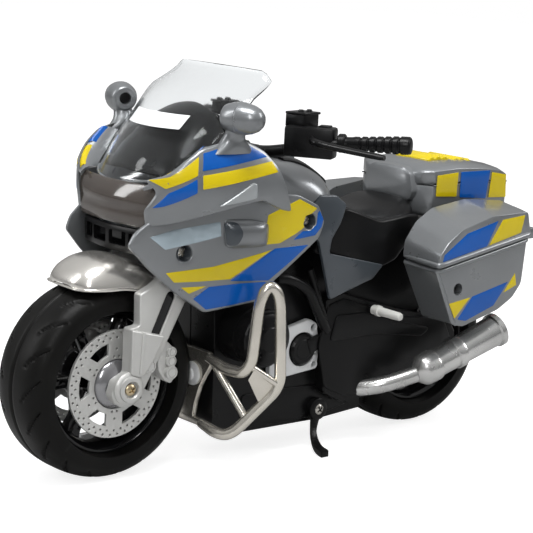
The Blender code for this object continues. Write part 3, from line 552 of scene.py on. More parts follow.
def tyre(prefix, y, width, body):
    """Round toy tyre: centre groove, slanted shoulder cuts and rings on the walls."""
    rim_r, wheel_r, drop_max, power = 25.4, 35, 9, 3
    across, around = 46, 540
    verts, faces = [], []
    for j in range(around):
        a = 2 * pi * j / around
        for i in range(across + 1):
            side = -1 + 2 * i / across
            along = sin(side * pi / 2)
            drop = drop_max * (1 - (1 - abs(along) ** power) ** (1 / power))
            radius = wheel_r - drop
            groove = max(0, 1 - (abs(along) / 0.055) ** 2) * 0.7
            turns = 18 * a / (2 * pi) + 1.6 * abs(along) + (0.5 if along > 0 else 0)
            cut = max(0, 1 - (abs(turns % 1 - 0.5) / 0.055) ** 2)
            fade = min(max((abs(along) - 0.42) / 0.08, 0), 1)
            fade *= min(max((0.93 - abs(along)) / 0.06, 0), 1)
            groove = max(groove, 1.25 * cut * fade)
            for ring in (0.955, 0.985):
                groove -= 0.3 * max(0, 1 - (abs(abs(along) - ring) / 0.012) ** 2)
            radius -= groove
            verts.append((along * width / 2, y + radius * cos(a), AXLE_Z + radius * sin(a)))
        for along, radius in ((0.43, 26.3), (0.36, rim_r), (-0.36, rim_r), (-0.43, 26.3)):
            verts.append((along * width, y + radius * cos(a), AXLE_Z + radius * sin(a)))
    count = across + 5
    for j in range(around):
        k = (j + 1) % around
        for i in range(count):
            i2 = (i + 1) % count
            faces.append((j * count + i, j * count + i2, k * count + i2, k * count + i))
    show(mesh_of(prefix + "_tyre_tread", verts, faces, 50), "tyre_rubber", prefix + "_tyre", body)


def wheel_rim(prefix, y, width, body):
    """Lipped black rim with a dished well, six ribbed spokes and a stepped hub."""
    half = width * 0.36
    profile = [(-half, 25), (-half, 24.2), (-half + 0.7, 23.6), (-half + 2, 22.6), (-2.5, 21.9),
        (2.5, 21.9), (half - 2, 22.6), (half - 0.7, 23.6), (half, 24.2), (half, 25)]
    rim = turned("rim", profile, (0, y, AXLE_Z), steps=96, loop=True)
    hub = turned("hub", [(-8.5, 2.05), (-8.5, 5.4), (-7.6, 6.4), (-4.6, 7), (4.6, 7), (7.6, 6.4),
        (8.5, 5.4), (8.5, 2.05)], (0, y, AXLE_Z), loop=True)
    spokes = []
    for i in range(6):
        rings = []
        for reach, wide, deep in ((5.8, 2.6, 4.2), (10, 2, 3.9), (16, 1.7, 3.4), (20, 2.2, 3.2),
                (22.6, 3.4, 3.2)):
            ring = [(-deep, -wide), (-deep + 0.8, -wide * 0.45), (-deep + 0.8, wide * 0.45),
                (-deep, wide)]
            rings.append([(x, s, reach) for x, s in ring + [(-x, -s) for x, s in ring]])
        spokes.append(placed(loft("spoke", rings, 0.35, 3), (0, y, AXLE_Z), 60 * i + 30, "X"))
    show(merged(prefix + "_rim_cast", rim, hub, *spokes), "black_gloss", prefix + "_rim", body)


def brake_disc():
    """Drilled disc with six rounded windows, and the bright cone in its middle."""
    hub = (FRONT_Y, AXLE_Z)
    corners = ((15.2, -17), (15.2, -6), (15.2, 6), (15.2, 17), (11, 12), (11, 0), (11, -12))
    holes = [ring_points(*hub, 8.9, 48)]
    for i in range(6):
        holes.append([polar(*hub, radius, 60 * i + angle) for radius, angle in corners])
    drilled = [(radius, 10 * (i + turn)) for radius, turn in ((16.7, 0), (18.2, 0.5))
        for i in range(36)]
    triple = ((9.9, 24), (9.9, 36), (12.5, 30))
    drilled += [(radius, 60 * i + angle) for i in range(6) for radius, angle in triple]
    holes += [ring_points(*polar(*hub, *place), 0.42, 9) for place in drilled]
    face = panel("brake_disc_left", ring_points(*hub, 19.3, 96), lambda y, z: 11.9, 1.2, 0.14, 0,
        60, holes)
    both(face, "silver_matt", "front_disc_left", "front_wheel")
    cone = turned("wheel_cone_left", [(8.6, 8.85), (11.5, 8.8), (12.5, 8.2), (13.5, 6.6),
        (14.3, 4.8), (14.6, 4.4), (14.6, 2.1), (8.6, 2.1)], (0, *hub), steps=72, loop=True)
    both(cone, "hub_grey", body="front_wheel")


def make_wheels():
    for make in (tyre, wheel_rim):
        for prefix, y, width in (("front", FRONT_Y, 27), ("rear", REAR_Y, 24)):
            make(prefix, y, width, prefix + "_wheel")
    brake_disc()

# -------------------- fork and fender


def make_fork():
    """Fork leg with its slot, raised block, gusset, axle boss and brake caliper."""
    boss = [polar(FRONT_Y, AXLE_Z, 6.9, a) for a in (-20, -50, -80, -110, -140, -165)]
    outline = [(-71.3, 67.7), (-66, 70), (-57, 76), (-50.6, 88.6), (-40.5, 84.6), (-52.4, 62),
        (-59.4, 48.8)] + boss + [(-80.2, 38), (-75.2, 40.3), (-75.2, 56), (-70.9, 56.6)]
    slot = []
    for y, z, start in ((-58.2, 65.8, -24.5), (-63.8, 53.5, 155.5)):
        slot += [polar(y, z, 1.9, start + 22.5 * i) for i in range(9)]
    leg = plate("fork_plate_left", outline, 15.2, 19.2, 0.6, 1, [slot])
    both(leg, "silver_matt", "fork_left", "steering")
    both(plate("fork_slot_left", slot, 17.6, 18.5, 0.1, 0.2), "black_gloss", body="steering",
        slot="black_plastic")
    raised = [(-75.4, 56.1), (-61.4, 52.6), (-65.6, 44.6), (-68.6, 40.4), (-71.3, 38.7),
        (-75.2, 40.3)]
    step = plate("fork_block_left", raised, 18.6, 21.4, 0.7, 1)
    both(step, "silver_matt", body="steering")
    rib = plate("fork_rib_left", [(-71.2, 55.2), (-70, 54.9), (-70.8, 40.2), (-72, 40.2)], 21, 21.9,
        0.3, 0.4)
    both(rib, "silver_matt", body="steering")
    for k, (y, z, r, x0, x1) in enumerate(((-66.7, 42.1, 2.6, 19, 20.6),
            (-56.1, 45.7, 1.9, 17, 18.9), (-56.4, 42.5, 2.1, 17, 19.1),
            (-56.2, 38.4, 2.5, 17, 19.3))):
        profile = [(x1, 0), (x1, r * 0.55), (x1 - 0.35, r * 0.6), (x1 - 0.35, r * 0.72),
            (x1, r * 0.78), (x1 - 0.1, r * 0.95), (x1 - 0.5, r), (x0, r), (x0, 0)]
        both(turned(f"fork_boss_{k}_left", profile, (0, y, z), steps=36), "silver_matt",
            body="steering")
    caliper = plate("brake_caliper_left", [(-59.6, 50.4), (-57.9, 49.9), (-54.2, 46.6), (-53.6, 41),
        (-53.6, 36), (-55.2, 33.9), (-58.2, 35.4), (-61, 39.6), (-61.5, 44)], 14.2, 17.6, 0.6, 1)
    both(caliper, "silver_matt", body="steering")
    ring = [(18.6, 0), (18.6, 6), (19.9, 6), (20.6, 5.4), (20.9, 4.7), (21.6, 4.5), (21.8, 4.1),
        (21.8, 3.1), (21.3, 2.8), (20.3, 2.8), (20.3, 0)]
    both(turned("axle_boss_left", ring, (0, FRONT_Y, AXLE_Z), steps=56), "silver_matt",
        body="steering")
    screw("wheel_screw", 2.1, 20.9, FRONT_Y, AXLE_Z, "axle_screw", "brass_plate", "steering")
    bridge = plate("fork_bridge", [raked(61.2, -3.6), raked(61.2, 3.6), raked(65.8, 3.6),
        raked(65.8, -3.6)], -15.2, 15.2, 0.6)
    stem = turned("fork_stem", [(86, 0), (86, 2.8), (64, 2.8), (64, 0)], (0, FRONT_Y, AXLE_Z),
        STEER_AXIS, 40)
    show(merged("fork_crown", bridge, stem), "black_satin", "fork_yoke", "steering")


FENDER_STATIONS = ((114.2, 38.4, 6, 0.9), (113, 39.6, 9.2, 2.4), (110.6, 41.1, 11.6, 4.5),
    (106, 42.8, 13.3, 7.1), (98, 44.2, 14.3, 9.6), (88, 44.4, 14.6, 10.2), (77, 43.5, 14.6, 9.8),
    (66, 42.5, 14.6, 9.1))
FENDER_SECTION = ((0, 0), (0.28, 0.015), (0.52, 0.07), (0.72, 0.2), (0.88, 0.48), (0.97, 0.8),
    (1, 1))


def fender_point(station, s):
    """Point s of the way over from the crown: a flat crown, a soft crease, a steep wall."""
    degrees, radius, half, skirt = station
    angle = radians(degrees)
    place = abs(s) * (len(FENDER_SECTION) - 1)
    i = min(int(place), len(FENDER_SECTION) - 2)
    a, b = FENDER_SECTION[i], FENDER_SECTION[i + 1]
    across, drop = (a[k] + (b[k] - a[k]) * (place - i) for k in (0, 1))
    reach = radius - skirt * drop
    return (copysign(half * across, s), FRONT_Y + reach * cos(angle), AXLE_Z + reach * sin(angle))


def make_fender():
    """Front mudguard with a rolled lip along its lower edge."""
    rows = [[fender_point(station, -1 + j / 6) for j in range(13)] for station in FENDER_STATIONS]
    hood = shell("mudguard", rows, (0, FRONT_Y, AXLE_Z), 1.3, 0.35, 4, 2)
    show(hood, "silver_satin", "front_fender", "steering")
    edge = [fender_point(s, 1) for s in reversed(FENDER_STATIONS)]
    edge += [fender_point(s, -1) for s in FENDER_STATIONS[1:]]
    lip = tube("mudguard_lip", [Vector(p) - Vector((0, 0, 0.2)) for p in curve_through(edge, 5)],
        0.55)
    show(lip, "silver_satin", body="steering")

# -------------------- side fairings


def wing_depth(y, z):
    """Half width of the upper fairing: near parallel sides and a blunt rounded front."""
    reach = min(max((-20 - y) / 52.6, 0), 0.999)
    return 17 + 20.5 * (1 - reach ** 4) ** 0.6 - 0.016 * (z - 104) ** 2


def lower_depth(y, z):
    """Half width of the lower side fairing, drawn in towards the nose and the sump."""
    reach = min(y, 0) / 77
    return 30 - 10 * reach ** 2 - 0.0015 * min(z - 90, 0) ** 2


WING_OUTLINE = [(-70.8, 91.4), (-71.6, 97), (-69.6, 103.8), (-71.9, 107.4), (-67.3, 109.9),
    (-62.6, 114.4), (-57, 118.7), (-50.1, 120.4), (-38.4, 121.1), (-32.4, 118), (-27, 112.6),
    (-23.3, 104.2), (-20, 96.2), (-25, 97.2), (-33.8, 101), (-43.1, 99.6), (-57.3, 96)]
LOWER_OUTLINE = [(-77.4, 84.8), (-75.2, 89.4), (-70, 93.4), (-62, 96.5), (-48.9, 99.8),
    (-36, 102.6), (-24, 101.6), (-11, 100.7), (-1.4, 96.4), (1.8, 90.2), (-0.2, 84.6), (-20, 69.6),
    (-24.8, 63), (-47.6, 60.2), (-59.8, 68.2), (-69.8, 76.8)]
COWL_EDGE = ((-72.2, 104.6), (-67.4, 109.6), (-62.4, 114.2), (-56.8, 118.4))
FAIRING_SCREWS = ((-57, 81.9), (-5.4, 90.8))
WING_FILMS = (("yellow", ((-71.6, 107.7), (-67.3, 109.3), (-58.4, 116.4), (-59.5, 110.1),
    (-68.3, 105.2))), ("blue", ((-56.7, 117.5), (-51.6, 118.8), (-45.4, 119.1), (-38.2, 119.7),
    (-33.2, 117), (-31.7, 115.9), (-57.8, 111.7))), ("yellow", ((-57.8, 110.2), (-29.8, 114.4),
    (-27.6, 110.6), (-57.9, 105.5))), ("blue", ((-67.6, 103.8), (-59.7, 109), (-59.7, 104.3),
    (-68.5, 99.1), (-70.7, 98.2))))
LOWER_FILMS = (("yellow", ((-63.7, 75.3), (-45.7, 76.8), (-22.2, 81.4), (-38.6, 71.9),
    (-50.5, 71.7), (-60.4, 71.8))), ("blue", ((-38.6, 71.2), (-20.6, 81.9), (-5.6, 82.3),
    (-12.2, 77.4), (-22.4, 70.4))), ("yellow", ((-24.4, 94.1), (-10.8, 99.2), (-2.4, 95.4),
    (-4.8, 93.7), (-7.6, 93), (-8.6, 90.2), (-8, 88.8), (-11.4, 86.9), (-18.6, 83.7),
    (-25.8, 83.5))), ("blue", ((-2, 93.7), (-1.2, 94.6), (0.9, 91.2), (0.2, 88.5), (-2.7, 85.6),
    (-12.7, 84.5), (-8.6, 87.5), (-4.8, 87.4), (-2.2, 89.6))), ("yellow",
    ((-57.7, 69.9), (-47.9, 69.9), (-54.4, 67.5))), ("blue", ((-52.6, 65.6), (-46.8, 69.6),
    (-34.3, 70.1), (-23.4, 70), (-24, 66.9), (-26.4, 63.9), (-36.6, 62.5), (-47.2, 61.4))),
    # the silver patch below is a painted reflection: the gloss band along the side fairing, laid on
    # as a film
    ("silver", ((-70.2, 88), (-61.3, 90.4), (-44, 92.6), (-43.4, 87.5), (-51.6, 85.8),
    (-64.5, 83.5))))


def films(prefix, table, depth):
    for k, (colour, outline) in enumerate(table):
        both(film(f"{prefix}_film_{k}_left", outline, depth), "print_" + colour)


def bump_depth(base, outline, height, power=3):
    """A rounded swelling on a sheet, zero at the outline's bounding box."""
    ys, zs = ([p[0] for p in outline], [p[1] for p in outline])
    y0, y1, z0, z1 = min(ys), max(ys), min(zs), max(zs)

    def depth(y, z):
        u = abs(2 * (y - y0) / (y1 - y0) - 1)
        v = abs(2 * (z - z0) / (z1 - z0) - 1)
        swell = max(0, 1 - min(u, 1) ** power) * max(0, 1 - min(v, 1) ** power)
        return base(y, z) - 0.5 + height * swell ** 0.7
    return depth


def make_fairings():
    both(panel("wing_left", WING_OUTLINE, wing_depth, 1.6, 0.6, 1.4, 2.2), "body_grey",
        "upper_fairing_left")
    films("wing", WING_FILMS, wing_depth)
    for name, finish, first, last, low, high, lift in (("cowl_edge", "body_grey", 0, 12, 0, 1, 0),
            ("cowl_film_0", "print_yellow", 1, 6, 0.08, 0.62, 0.2),
            ("cowl_film_1", "print_blue", 7, 12, 0.08, 0.62, 0.2)):
        rows = []
        for y, z in curve_through([Vector(p) for p in COWL_EDGE], 4)[first:last + 1]:
            outer = Vector((wing_depth(y, z) - 0.7, y, z))
            inner = Vector(screen_point(1, min(z - 1, 119))) + Vector((0.4, -0.4, 0))
            rows.append([outer.lerp(inner, low + (high - low) * k / 4)
                + Vector((0.1, -0.5, 0.8)) * (1.3 * sin(pi * k / 4) + lift) for k in range(5)])
        thick = 0.16 if lift else 1.2
        both(shell(name + "_left", rows, (0, -40, 90), thick, 0, 1, 2), finish)
    lamp = [(-51.8, 99.9), (-39, 107.5), (-37.3, 107.1), (-37.4, 101.7), (-51.5, 99.7)]
    both(panel("indicator_left", lamp, lambda y, z: wing_depth(y, z) + 0.9, 1.6, 0.5, 0.9),
        "pale_grey")
    wells = [ring_points(y, z, 2.9, 28) for y, z in FAIRING_SCREWS]
    both(panel("side_fairing_left", LOWER_OUTLINE, lower_depth, 1.6, 0.6, 1.4, 2.4, wells),
        "body_grey", "lower_fairing_left")
    films("side", LOWER_FILMS, lower_depth)
    for k, (y, z) in enumerate(FAIRING_SCREWS):
        x = lower_depth(y, z)
        well = turned(f"screw_well_{k}_left", [(x - 0.4, 3), (x - 0.4, 2.75), (x - 3.6, 2.6),
            (x - 3.6, 0), (x - 4.4, 0), (x - 4.4, 3)], (0, y, z), steps=40)
        both(well, "dark_grey")
        where = "front" if k == 0 else "rear"
        screw(f"fairing_cross_{where}_left", 2.2, x - 3, y, z, f"fairing_screw_{where}_left")
    duct = [(-42.8, 93.4), (-33, 93), (-24.6, 91.4), (-23.9, 83.4), (-33, 82.6), (-41.8, 83.4)]
    both(panel("duct_left", duct, bump_depth(lower_depth, duct, 4.4), 1.2, 0.3, 2.2, 1.3),
        "body_grey")
    # The dark patch on the front of the duct bump is painted shade: it stands for the shaded recess
    # there and lies on the surface, with no opening.
    mouth = [(-42.6, 92.4), (-38.6, 92.6), (-37, 88.6), (-38.6, 84.2), (-41.8, 84.2)]
    both(panel("duct_mouth_left", mouth, lambda y, z: bump_depth(lower_depth, duct, 4.4)(y, z)
        + 0.12, 1, 0.2, 1.2, 1.3), "dark_grey")

# -------------------- nose and screen


def nose_rows(levels, steps=12, bow=1.6):
    rows = []
    for z, y_middle, y_corner, half in levels:
        rows.append([(half * s, y_middle + (y_corner - y_middle) * abs(s) ** bow, z)
            for s in [-1 + 2 * i / steps for i in range(steps + 1)]])
    return rows


def make_nose():
    glass = [(105.4, -71.6, -67.6, 23.6), (103.4, -72.6, -68.6, 23.4), (100.6, -73.6, -69.6, 22.6),
        (98, -74, -70.2, 21.6), (96.9, -73.7, -70.3, 21.2), (92.6, -74.1, -71.2, 19.4),
        (90.6, -73.4, -71, 18.6)]
    show(shell("headlamp_lens", nose_rows(glass), (0, -50, 96), 1.1, 0.3, 2, 2), "smoked",
        "headlamp_glass")
    core = [(104, -66.8, -60.6, 19.6), (98, -70.4, -65.8, 19), (90, -70.4, -67.6, 17),
        (88, -68, -66, 16.6)]
    show(shell("nose_core", nose_rows(core), (0, -50, 96), 1, 0.2, 2, 2), "dark_grey",
        slot="smoked_plastic")
    intake = [(89.6, -71.6, -68.6, 18), (88.6, -72.8, -70, 18), (81.6, -72.4, -69.8, 17.6),
        (80.2, -70.8, -67.6, 17)]
    scoop = shell("intake_cowl", nose_rows(intake, 12), (0, -50, 85), 1.5, 0.3, 3, 2)
    cuts = []
    for x0, x1 in ((-15.8, -11), (-9.6, -1), (1, 9.6), (11, 15.8)):
        cuts.append(block("window", (x0, -78, 82.8), (x1, -64, 87.8), 0.5))
    show(boolean(scoop, "DIFFERENCE", *cuts), "black_satin", "nose_intake")
    back = block("intake_back", (-16.5, -68.4, 81), (16.5, -67.4, 89.2), 0.2)
    show(back, "black_gloss", slot="black_plastic")
    bowls = []
    for x in (-8.2, 8.2):
        bowls.append(turned("bowl", [(0, 0), (0.6, 2.6), (2.2, 4.6), (4.8, 5.6), (4.8, 6.2),
            (1.8, 5.4), (-0.8, 3), (-1.2, 0)], (x, -63, 95.4), (0, -1, 0.1), 48))
        bowls.append(turned("bulb", [(0, 0), (0, 1.3), (2.6, 1.3), (3.6, 0.8), (3.9, 0)],
            (x, -63, 95.4), (0, -1, 0.1), 32))
    bowls.append(block("lamp_frame", (-13.2, -62.4, 84.4), (13.2, -60.6, 101.8), 0.6))
    show(merged("headlamp_bowls", *bowls), "mirror", "headlamp_unit")


SCREEN_LEVELS = ((104.4, -71.4, -62.8, 20.6, 2.6), (109.5, -68.2, -56.8, 24.6, 1.6),
    (116, -63.8, -51, 27, 1), (124, -57.2, -43.2, 28.6, 0.6), (134, -46, -35.6, 29.6, 0),
    (144.9, -28, -24.6, 27.2, -0.6))


def screen_level(z):
    """Section of the windscreen at a height, between the tabled ones."""
    levels = [Vector(level[1:]) for level in SCREEN_LEVELS]
    heights = [level[0] for level in SCREEN_LEVELS]
    i = max(k for k in range(len(heights) - 1) if heights[k] <= z or k == 0)
    t = (z - heights[i]) / (heights[i + 1] - heights[i])
    a, b, c = levels[max(i - 1, 0)], levels[i], levels[i + 1]
    d = levels[min(i + 2, len(levels) - 1)]
    return catmull(a, b, c, d, t)


def screen_point(s, z, out=0):
    y_middle, y_side, half, rise = screen_level(z)
    round_off = 3.2 * max(0, (abs(s) - 0.82) / 0.18) ** 2 * max(0, (z - 136) / 8.9)
    return (half * s, y_middle + (y_side - y_middle) * abs(s) ** 2.2 - out * 0.8, z + rise * s * s
        - round_off + out * 0.6)


def make_screen():
    rows = [[screen_point(-1 + i / 12, z) for i in range(25)] for z in [104.4 + 40.5 * k / 26
        for k in range(27)]]
    show(shell("screen", rows, (0, -20, 100), 0.9, 0.25, 1, 1), "clear", "windscreen")
    lip = tube("screen_lip", [screen_point(-1 + i / 10, 104.7) for i in range(21)], 0.5)
    show(lip, "clear_lip")
    label = [[screen_point((-14.5 + 29 * i / 12) / 28, z, 0.12) for i in range(13)]
        for z in (123.3, 124.5, 125.7, 126.9, 128.1)]
    show(shell("screen_label", label, (0, -20, 100), 0.1, 0, 1, 1), "print_white")
    arches = []
    for y, z, h, w in ((-61.6, 107.4, 1.6, 15), (-60.5, 108, 4, 17.6), (-56, 109.2, 9.6, 20.4),
            (-51, 109.8, 14.6, 21.4), (-46, 110, 18.6, 21.6), (-41, 110.2, 20.6, 21.4),
            (-37.4, 110.4, 20.8, 21)):
        arches.append([(w * sin(a), y, z + h * cos(a) ** 0.9) for a in [radians(-90 + 7.5 * i)
            for i in range(25)]] + [(w, y, 107.6), (-w, y, 107.6)])
    hood = loft("hood", arches, 0.4, 3)
    base = block("hood_base", (-22.6, -59.6, 106.4), (22.6, -36.3, 110.6), 1)
    show(merged("dash_cover", hood, base), "black_satin", "dash_hood", slot="gloss_black")
    dials = []
    for x, z, r in ((-8.6, 118.4, 5.4), (8.6, 118.4, 5.4), (0, 125, 2.6)):
        dials.append(turned("dial", [(0.9, r), (0.9, r - 0.6), (0.35, r - 0.9), (0.35, 0),
            (-0.6, 0), (-0.6, r)], (x, -37.5, z), (0, 1, 0), 48))
        for k in range(9):
            ends = [polar(x, z, r - reach, -30 + 30 * k) for reach in (1.2, 2)]
            dials.append(tube("mark", [(across, -37, up) for across, up in ends], 0.14, 0, 1))
    show(merged("dash_dials", *dials), "pale_grey", slot="")
    make_pods()


def make_pods():
    """Beacon pods on cone stalks, flat with a round socket on the inner face."""
    centre = (34.1, -44.6, 129.4)
    swept = (0.94, 0.342, 0)
    profile = [(10, 0), (9.9, 1.4), (9.3, 2.8), (8, 4), (6, 4.9), (3.2, 5.5), (1.75, 5.65),
        (1.6, 5.55), (1.35, 5.55), (1.2, 5.7), (-1.5, 5.4), (-3.8, 4.7), (-4.6, 4.3), (-4.9, 3.9),
        (-4.9, 2.2), (-1.5, 2.1), (-1.5, 0)]
    pod = turned("pod", profile, centre, swept, 56)
    plug = turned("pod_socket_left", [(-3.6, 0), (-3.6, 2.05), (-1.7, 2.05), (-1.7, 0)], centre,
        swept, 32)
    both(plug, "black_satin")
    rings = []
    for z, x, y, rx, ry in ((117.2, 32.4, -43.8, 2.6, 9), (119.6, 32, -44.2, 3.4, 6.6),
            (121.8, 32, -44.4, 3.3, 4.8), (123.8, 32.8, -44.5, 3.2, 3.8),
            (125.6, 33.6, -44.6, 3.4, 3.6)):
        rings.append([(x + rx * cos(2 * pi * i / 32), y + ry * sin(2 * pi * i / 32), z)
            for i in range(32)])
    stalk = loft("stalk", rings, 0, 4)
    both(merged("pod_left", pod, stalk), "body_grey", "beacon_pod_left")

# -------------------- handlebar


def make_handlebar():
    """Black one-piece bar: ribbed grips, bent levers, switch blocks, reservoirs."""
    bar = tube("bar", [(-40, 1.5, 119.5), (-33, -3, 118.5), (-20, -9.5, 115.5), (-10, -12.5, 113.5),
        (10, -12.5, 113.5), (20, -9.5, 115.5), (33, -3, 118.5), (40, 1.5, 119.5)], 2.3, 5)
    clamp = turned("clamp", [(8, 0), (8, 4.9), (7.4, 5.5), (0.6, 5.5), (0, 4.9), (0, 0)],
        (0, *raked(86.5, 0)), STEER_AXIS, 40)
    riser = block("riser", (-7, -31, 111.4), (7, -10.5, 115.8), 1)
    cap = turned("cap", [(1.2, 0), (1.1, 2.6), (0.4, 3.2), (-1, 3.2), (-1, 0)], (0, -14.5, 115.6),
        (0, 0, 1), 32)
    along = Vector((17, 11.3, 1)).normalized()
    profile = [(22.9, 0), (22.9, 2.4), (22.6, 2.95), (22.1, 3.2), (19.3, 3.25)]
    for i in range(6):
        base = 18.9 - 2.8 * i
        grown = 3.2 - 0.045 * (18.9 - base)
        profile += [(base, grown - 0.35), (base - 0.4, grown - 0.4), (base - 0.8, grown),
            (base - 2.3, grown)]
    profile += [(1.6, 2.35), (-1, 2.3), (-1.2, 0)]
    side = [turned("grip", profile, (39.5, 1.9, 119.9), along, 40),
        turned_block("housing", (-9.6, -4, -5.7), (8.6, 4, 5.4), (27.5, -4.6, 119.4), 36, 1),
        turned_block("reservoir", (-4.6, -4.6, 0), (4.2, 4.6, 5.6), (22, -4.9, 123.6), 14, 0.9),
        turned_block("reservoir_lid", (-4.3, -4.9, 5.2), (4.5, 4.9, 6.1), (22, -4.9, 123.4), 14,
        0.3), turned_block("switch", (-0.4, -2.2, 5.2), (3.8, 2.2, 6.2), (29.5, -2.6, 119.2), 36,
        0.3), turned("collar", [(1.4, 0), (1.4, 3), (1, 3.4), (-0.8, 3.4), (-1.2, 3), (-1.2, 0)],
        (37.6, 0.6, 119.8), along, 36)]
    for y in (-7.2, -3.3):
        side.append(turned("knob", [(1.3, 0), (1.2, 0.8), (0.8, 1.1), (-0.6, 1.2), (-0.6, 0)],
            (23.6, y, 129.2), (0, 0, 1), 24))
    lever = []
    for x, y, z, w, h in ((31, -8.2, 120.6, 1.7, 1.5), (35.6, -10.2, 120.1, 1.7, 1.4),
            (41, -8.2, 119.3, 1.6, 1.25), (49, -3.2, 118.2, 1.6, 1.15),
            (55.5, 0.9, 117.4, 1.6, 1.15), (58, 2.4, 117.1, 1.1, 0.9)):
        lever.append([(x + 0.5 * w * cos(a), y - w * cos(a), z + h * sin(a))
            for a in [2 * pi * i / 16 for i in range(16)]])
    side.append(loft("lever", lever, 0, 5))
    side += [mirrored(piece) for piece in side]
    show(merged("handlebar_set", bar, clamp, riser, cap, *side), "black_satin", "handlebar",
        "steering")

# -------------------- tank, seat, sides


def tank_section(y, half, low, top, sweep=0, count=17):
    """One arched section of the tank, its skirts swept forward at the sides."""
    row = []
    for i in range(count):
        a = pi * i / (count - 1)
        lift = max(0, sin(a)) ** 0.55
        across = copysign(abs(cos(a)) ** 0.75, cos(a))
        row.append((half * across, y - sweep * across ** 2, low + (top - low) * lift))
    return row


def make_rider_area():
    tank = [tank_section(*row) for row in ((-16, 19, 90.5, 108, 0), (-8, 22, 90.5, 110.2, 0.5),
        (2, 24, 90, 109.6, 2), (11, 24.5, 89, 106.8, 4.5), (18, 23, 88, 102.5, 7.5),
        (22, 20, 87.5, 98, 9))]
    show(shell("tank", tank, (0, 0, 85), 1.6, 0.5, 5, 3), "body_grey", "tank_cover")
    trim = []
    for y, half, top in ((-1, 8.8, 110), (4, 8.8, 109.4), (10, 8.4, 107.6), (16, 8.8, 104.2),
            (20.4, 8.8, 101.2)):
        trim.append(tank_section(y, half, top - 1.4, top + 1.6, 0, 13))
    show(loft("tank_pad", trim, 0.4, 4), "black_gloss", "tank_trim")
    filler = turned("filler_cap", [(1, 0), (1, 2.6), (0.7, 3.3), (0.1, 3.8), (-1.6, 4), (-1.6, 0)],
        (0, 6.4, 110.3), (0, 0.18, 1), 48)
    show(filler, "dark_grey", slot="gloss_black")
    rings = []
    for y, half, low, top in ((19.6, 14, 80, 92), (23.5, 18, 77, 93.4), (27, 20.6, 75, 91.9),
            (36, 22.5, 72.4, 88.8), (46, 22, 73.5, 88.6), (55, 18.5, 80.5, 92),
            (59.6, 16, 81.5, 93.4)):
        mid = (low + top) / 2
        half_ring = [(0, low), (half - 4, low), (half, low + 2), (half + 0.8, mid),
            (half - 0.2, top - 3.2), (half - 2.6, top - 1), (half - 6.5, top), (0, top + 0.3)]
        rings.append([(x, y, z) for x, z in mirror_ring(half_ring)])
    show(loft("saddle", rings, 0.5, 4), "black_satin", "seat")
    skirt = [(5, 77), (38.4, 69.6), (46, 71.6), (59.4, 83.6), (59.6, 88), (52, 88.8), (36, 87.6),
        (26, 91), (18.6, 93.4), (8.6, 88.4)]
    both(panel("saddle_skirt_left", skirt, lambda y, z: 24 - 0.004 * (y - 30) ** 2, 3, 1.1, 2, 3),
        "black_satin")
    outline = [(3.4, 82), (13, 59), (33.5, 65.5), (38, 70.6), (9.4, 77.2), (9.6, 83), (14, 88.6),
        (17, 94.9), (12, 98.6), (4, 99), (-3, 93), (-2, 85)]
    both(panel("flank_left", outline, lambda y, z: 26.2 - 0.12 * abs(z - 84), 1.6, 0.5, 1, 3),
        "dark_grey", "side_panel_left")

# -------------------- luggage
LID_FILMS = (("blue", ((44.5, 75.4), (45.2, 78), (56.7, 85.4), (73.2, 89.3), (67.8, 79.8))),
    ("yellow", ((68.9, 80), (75.6, 89.5), (88, 90.6), (86.4, 83.8))))
CASE_FILMS = (("yellow", ((50.6, 58.9), (61.9, 60.4), (54, 52.9))),
    ("blue", ((55.6, 52.4), (62.9, 60.6), (82.3, 64.8), (79, 60.6), (75, 56), (60, 51.4))),
    ("yellow", ((80.2, 60.6), (85.9, 67.8), (87.2, 63))))
CASE_INNER = [(44.5, 72.6), (57, 49.6), (61, 48.6), (80, 53), (88, 57.6), (93.5, 65.6), (97, 84.2)]
CASE_OUTER = [(43, 73), (55, 50.4), (58.5, 49.2), (77.7, 54), (85.6, 58.2), (90.2, 63.6),
    (91.6, 82.4)]
LID_INNER = [(44.5, 73.6), (44.8, 80), (50, 87), (58, 91.8), (76, 94.4), (97.5, 92.6), (97.4, 85.2)]
LID_OUTER = [(42.6, 74), (43.2, 77.6), (47, 82.4), (54, 87), (70, 91.2), (90, 91.8), (92.2, 83.4)]


def luggage_body(name, inner, outer, x0, x1, edge):
    """A case half drafted outwards, with rounded corners and a crowned side face."""
    rings = []
    for t, x in ((0, x0), (0.35, x0 + 0.35 * (x1 - x0)), (0.7, x0 + 0.72 * (x1 - x0)),
            (1, x1 - edge)):
        ring = [Vector(a).lerp(Vector(b), t) for a, b in zip(inner, outer)]
        rings.append([(x, p.x, p.y) for p in rounded(ring, 1.6)])
    middle = Vector((sum(p[0] for p in outer), sum(p[1] for p in outer))) / len(outer)
    for angle in (30, 60, 90):
        a = radians(angle)
        shrink = 1 - edge * (1 - cos(a)) / 22
        ring = [middle + (Vector(b) - middle) * shrink for b in outer]
        rings.append([(x1 - edge * (1 - sin(a)), p.x, p.y) for p in rounded(ring, 1.6)])
    return loft(name, rings)


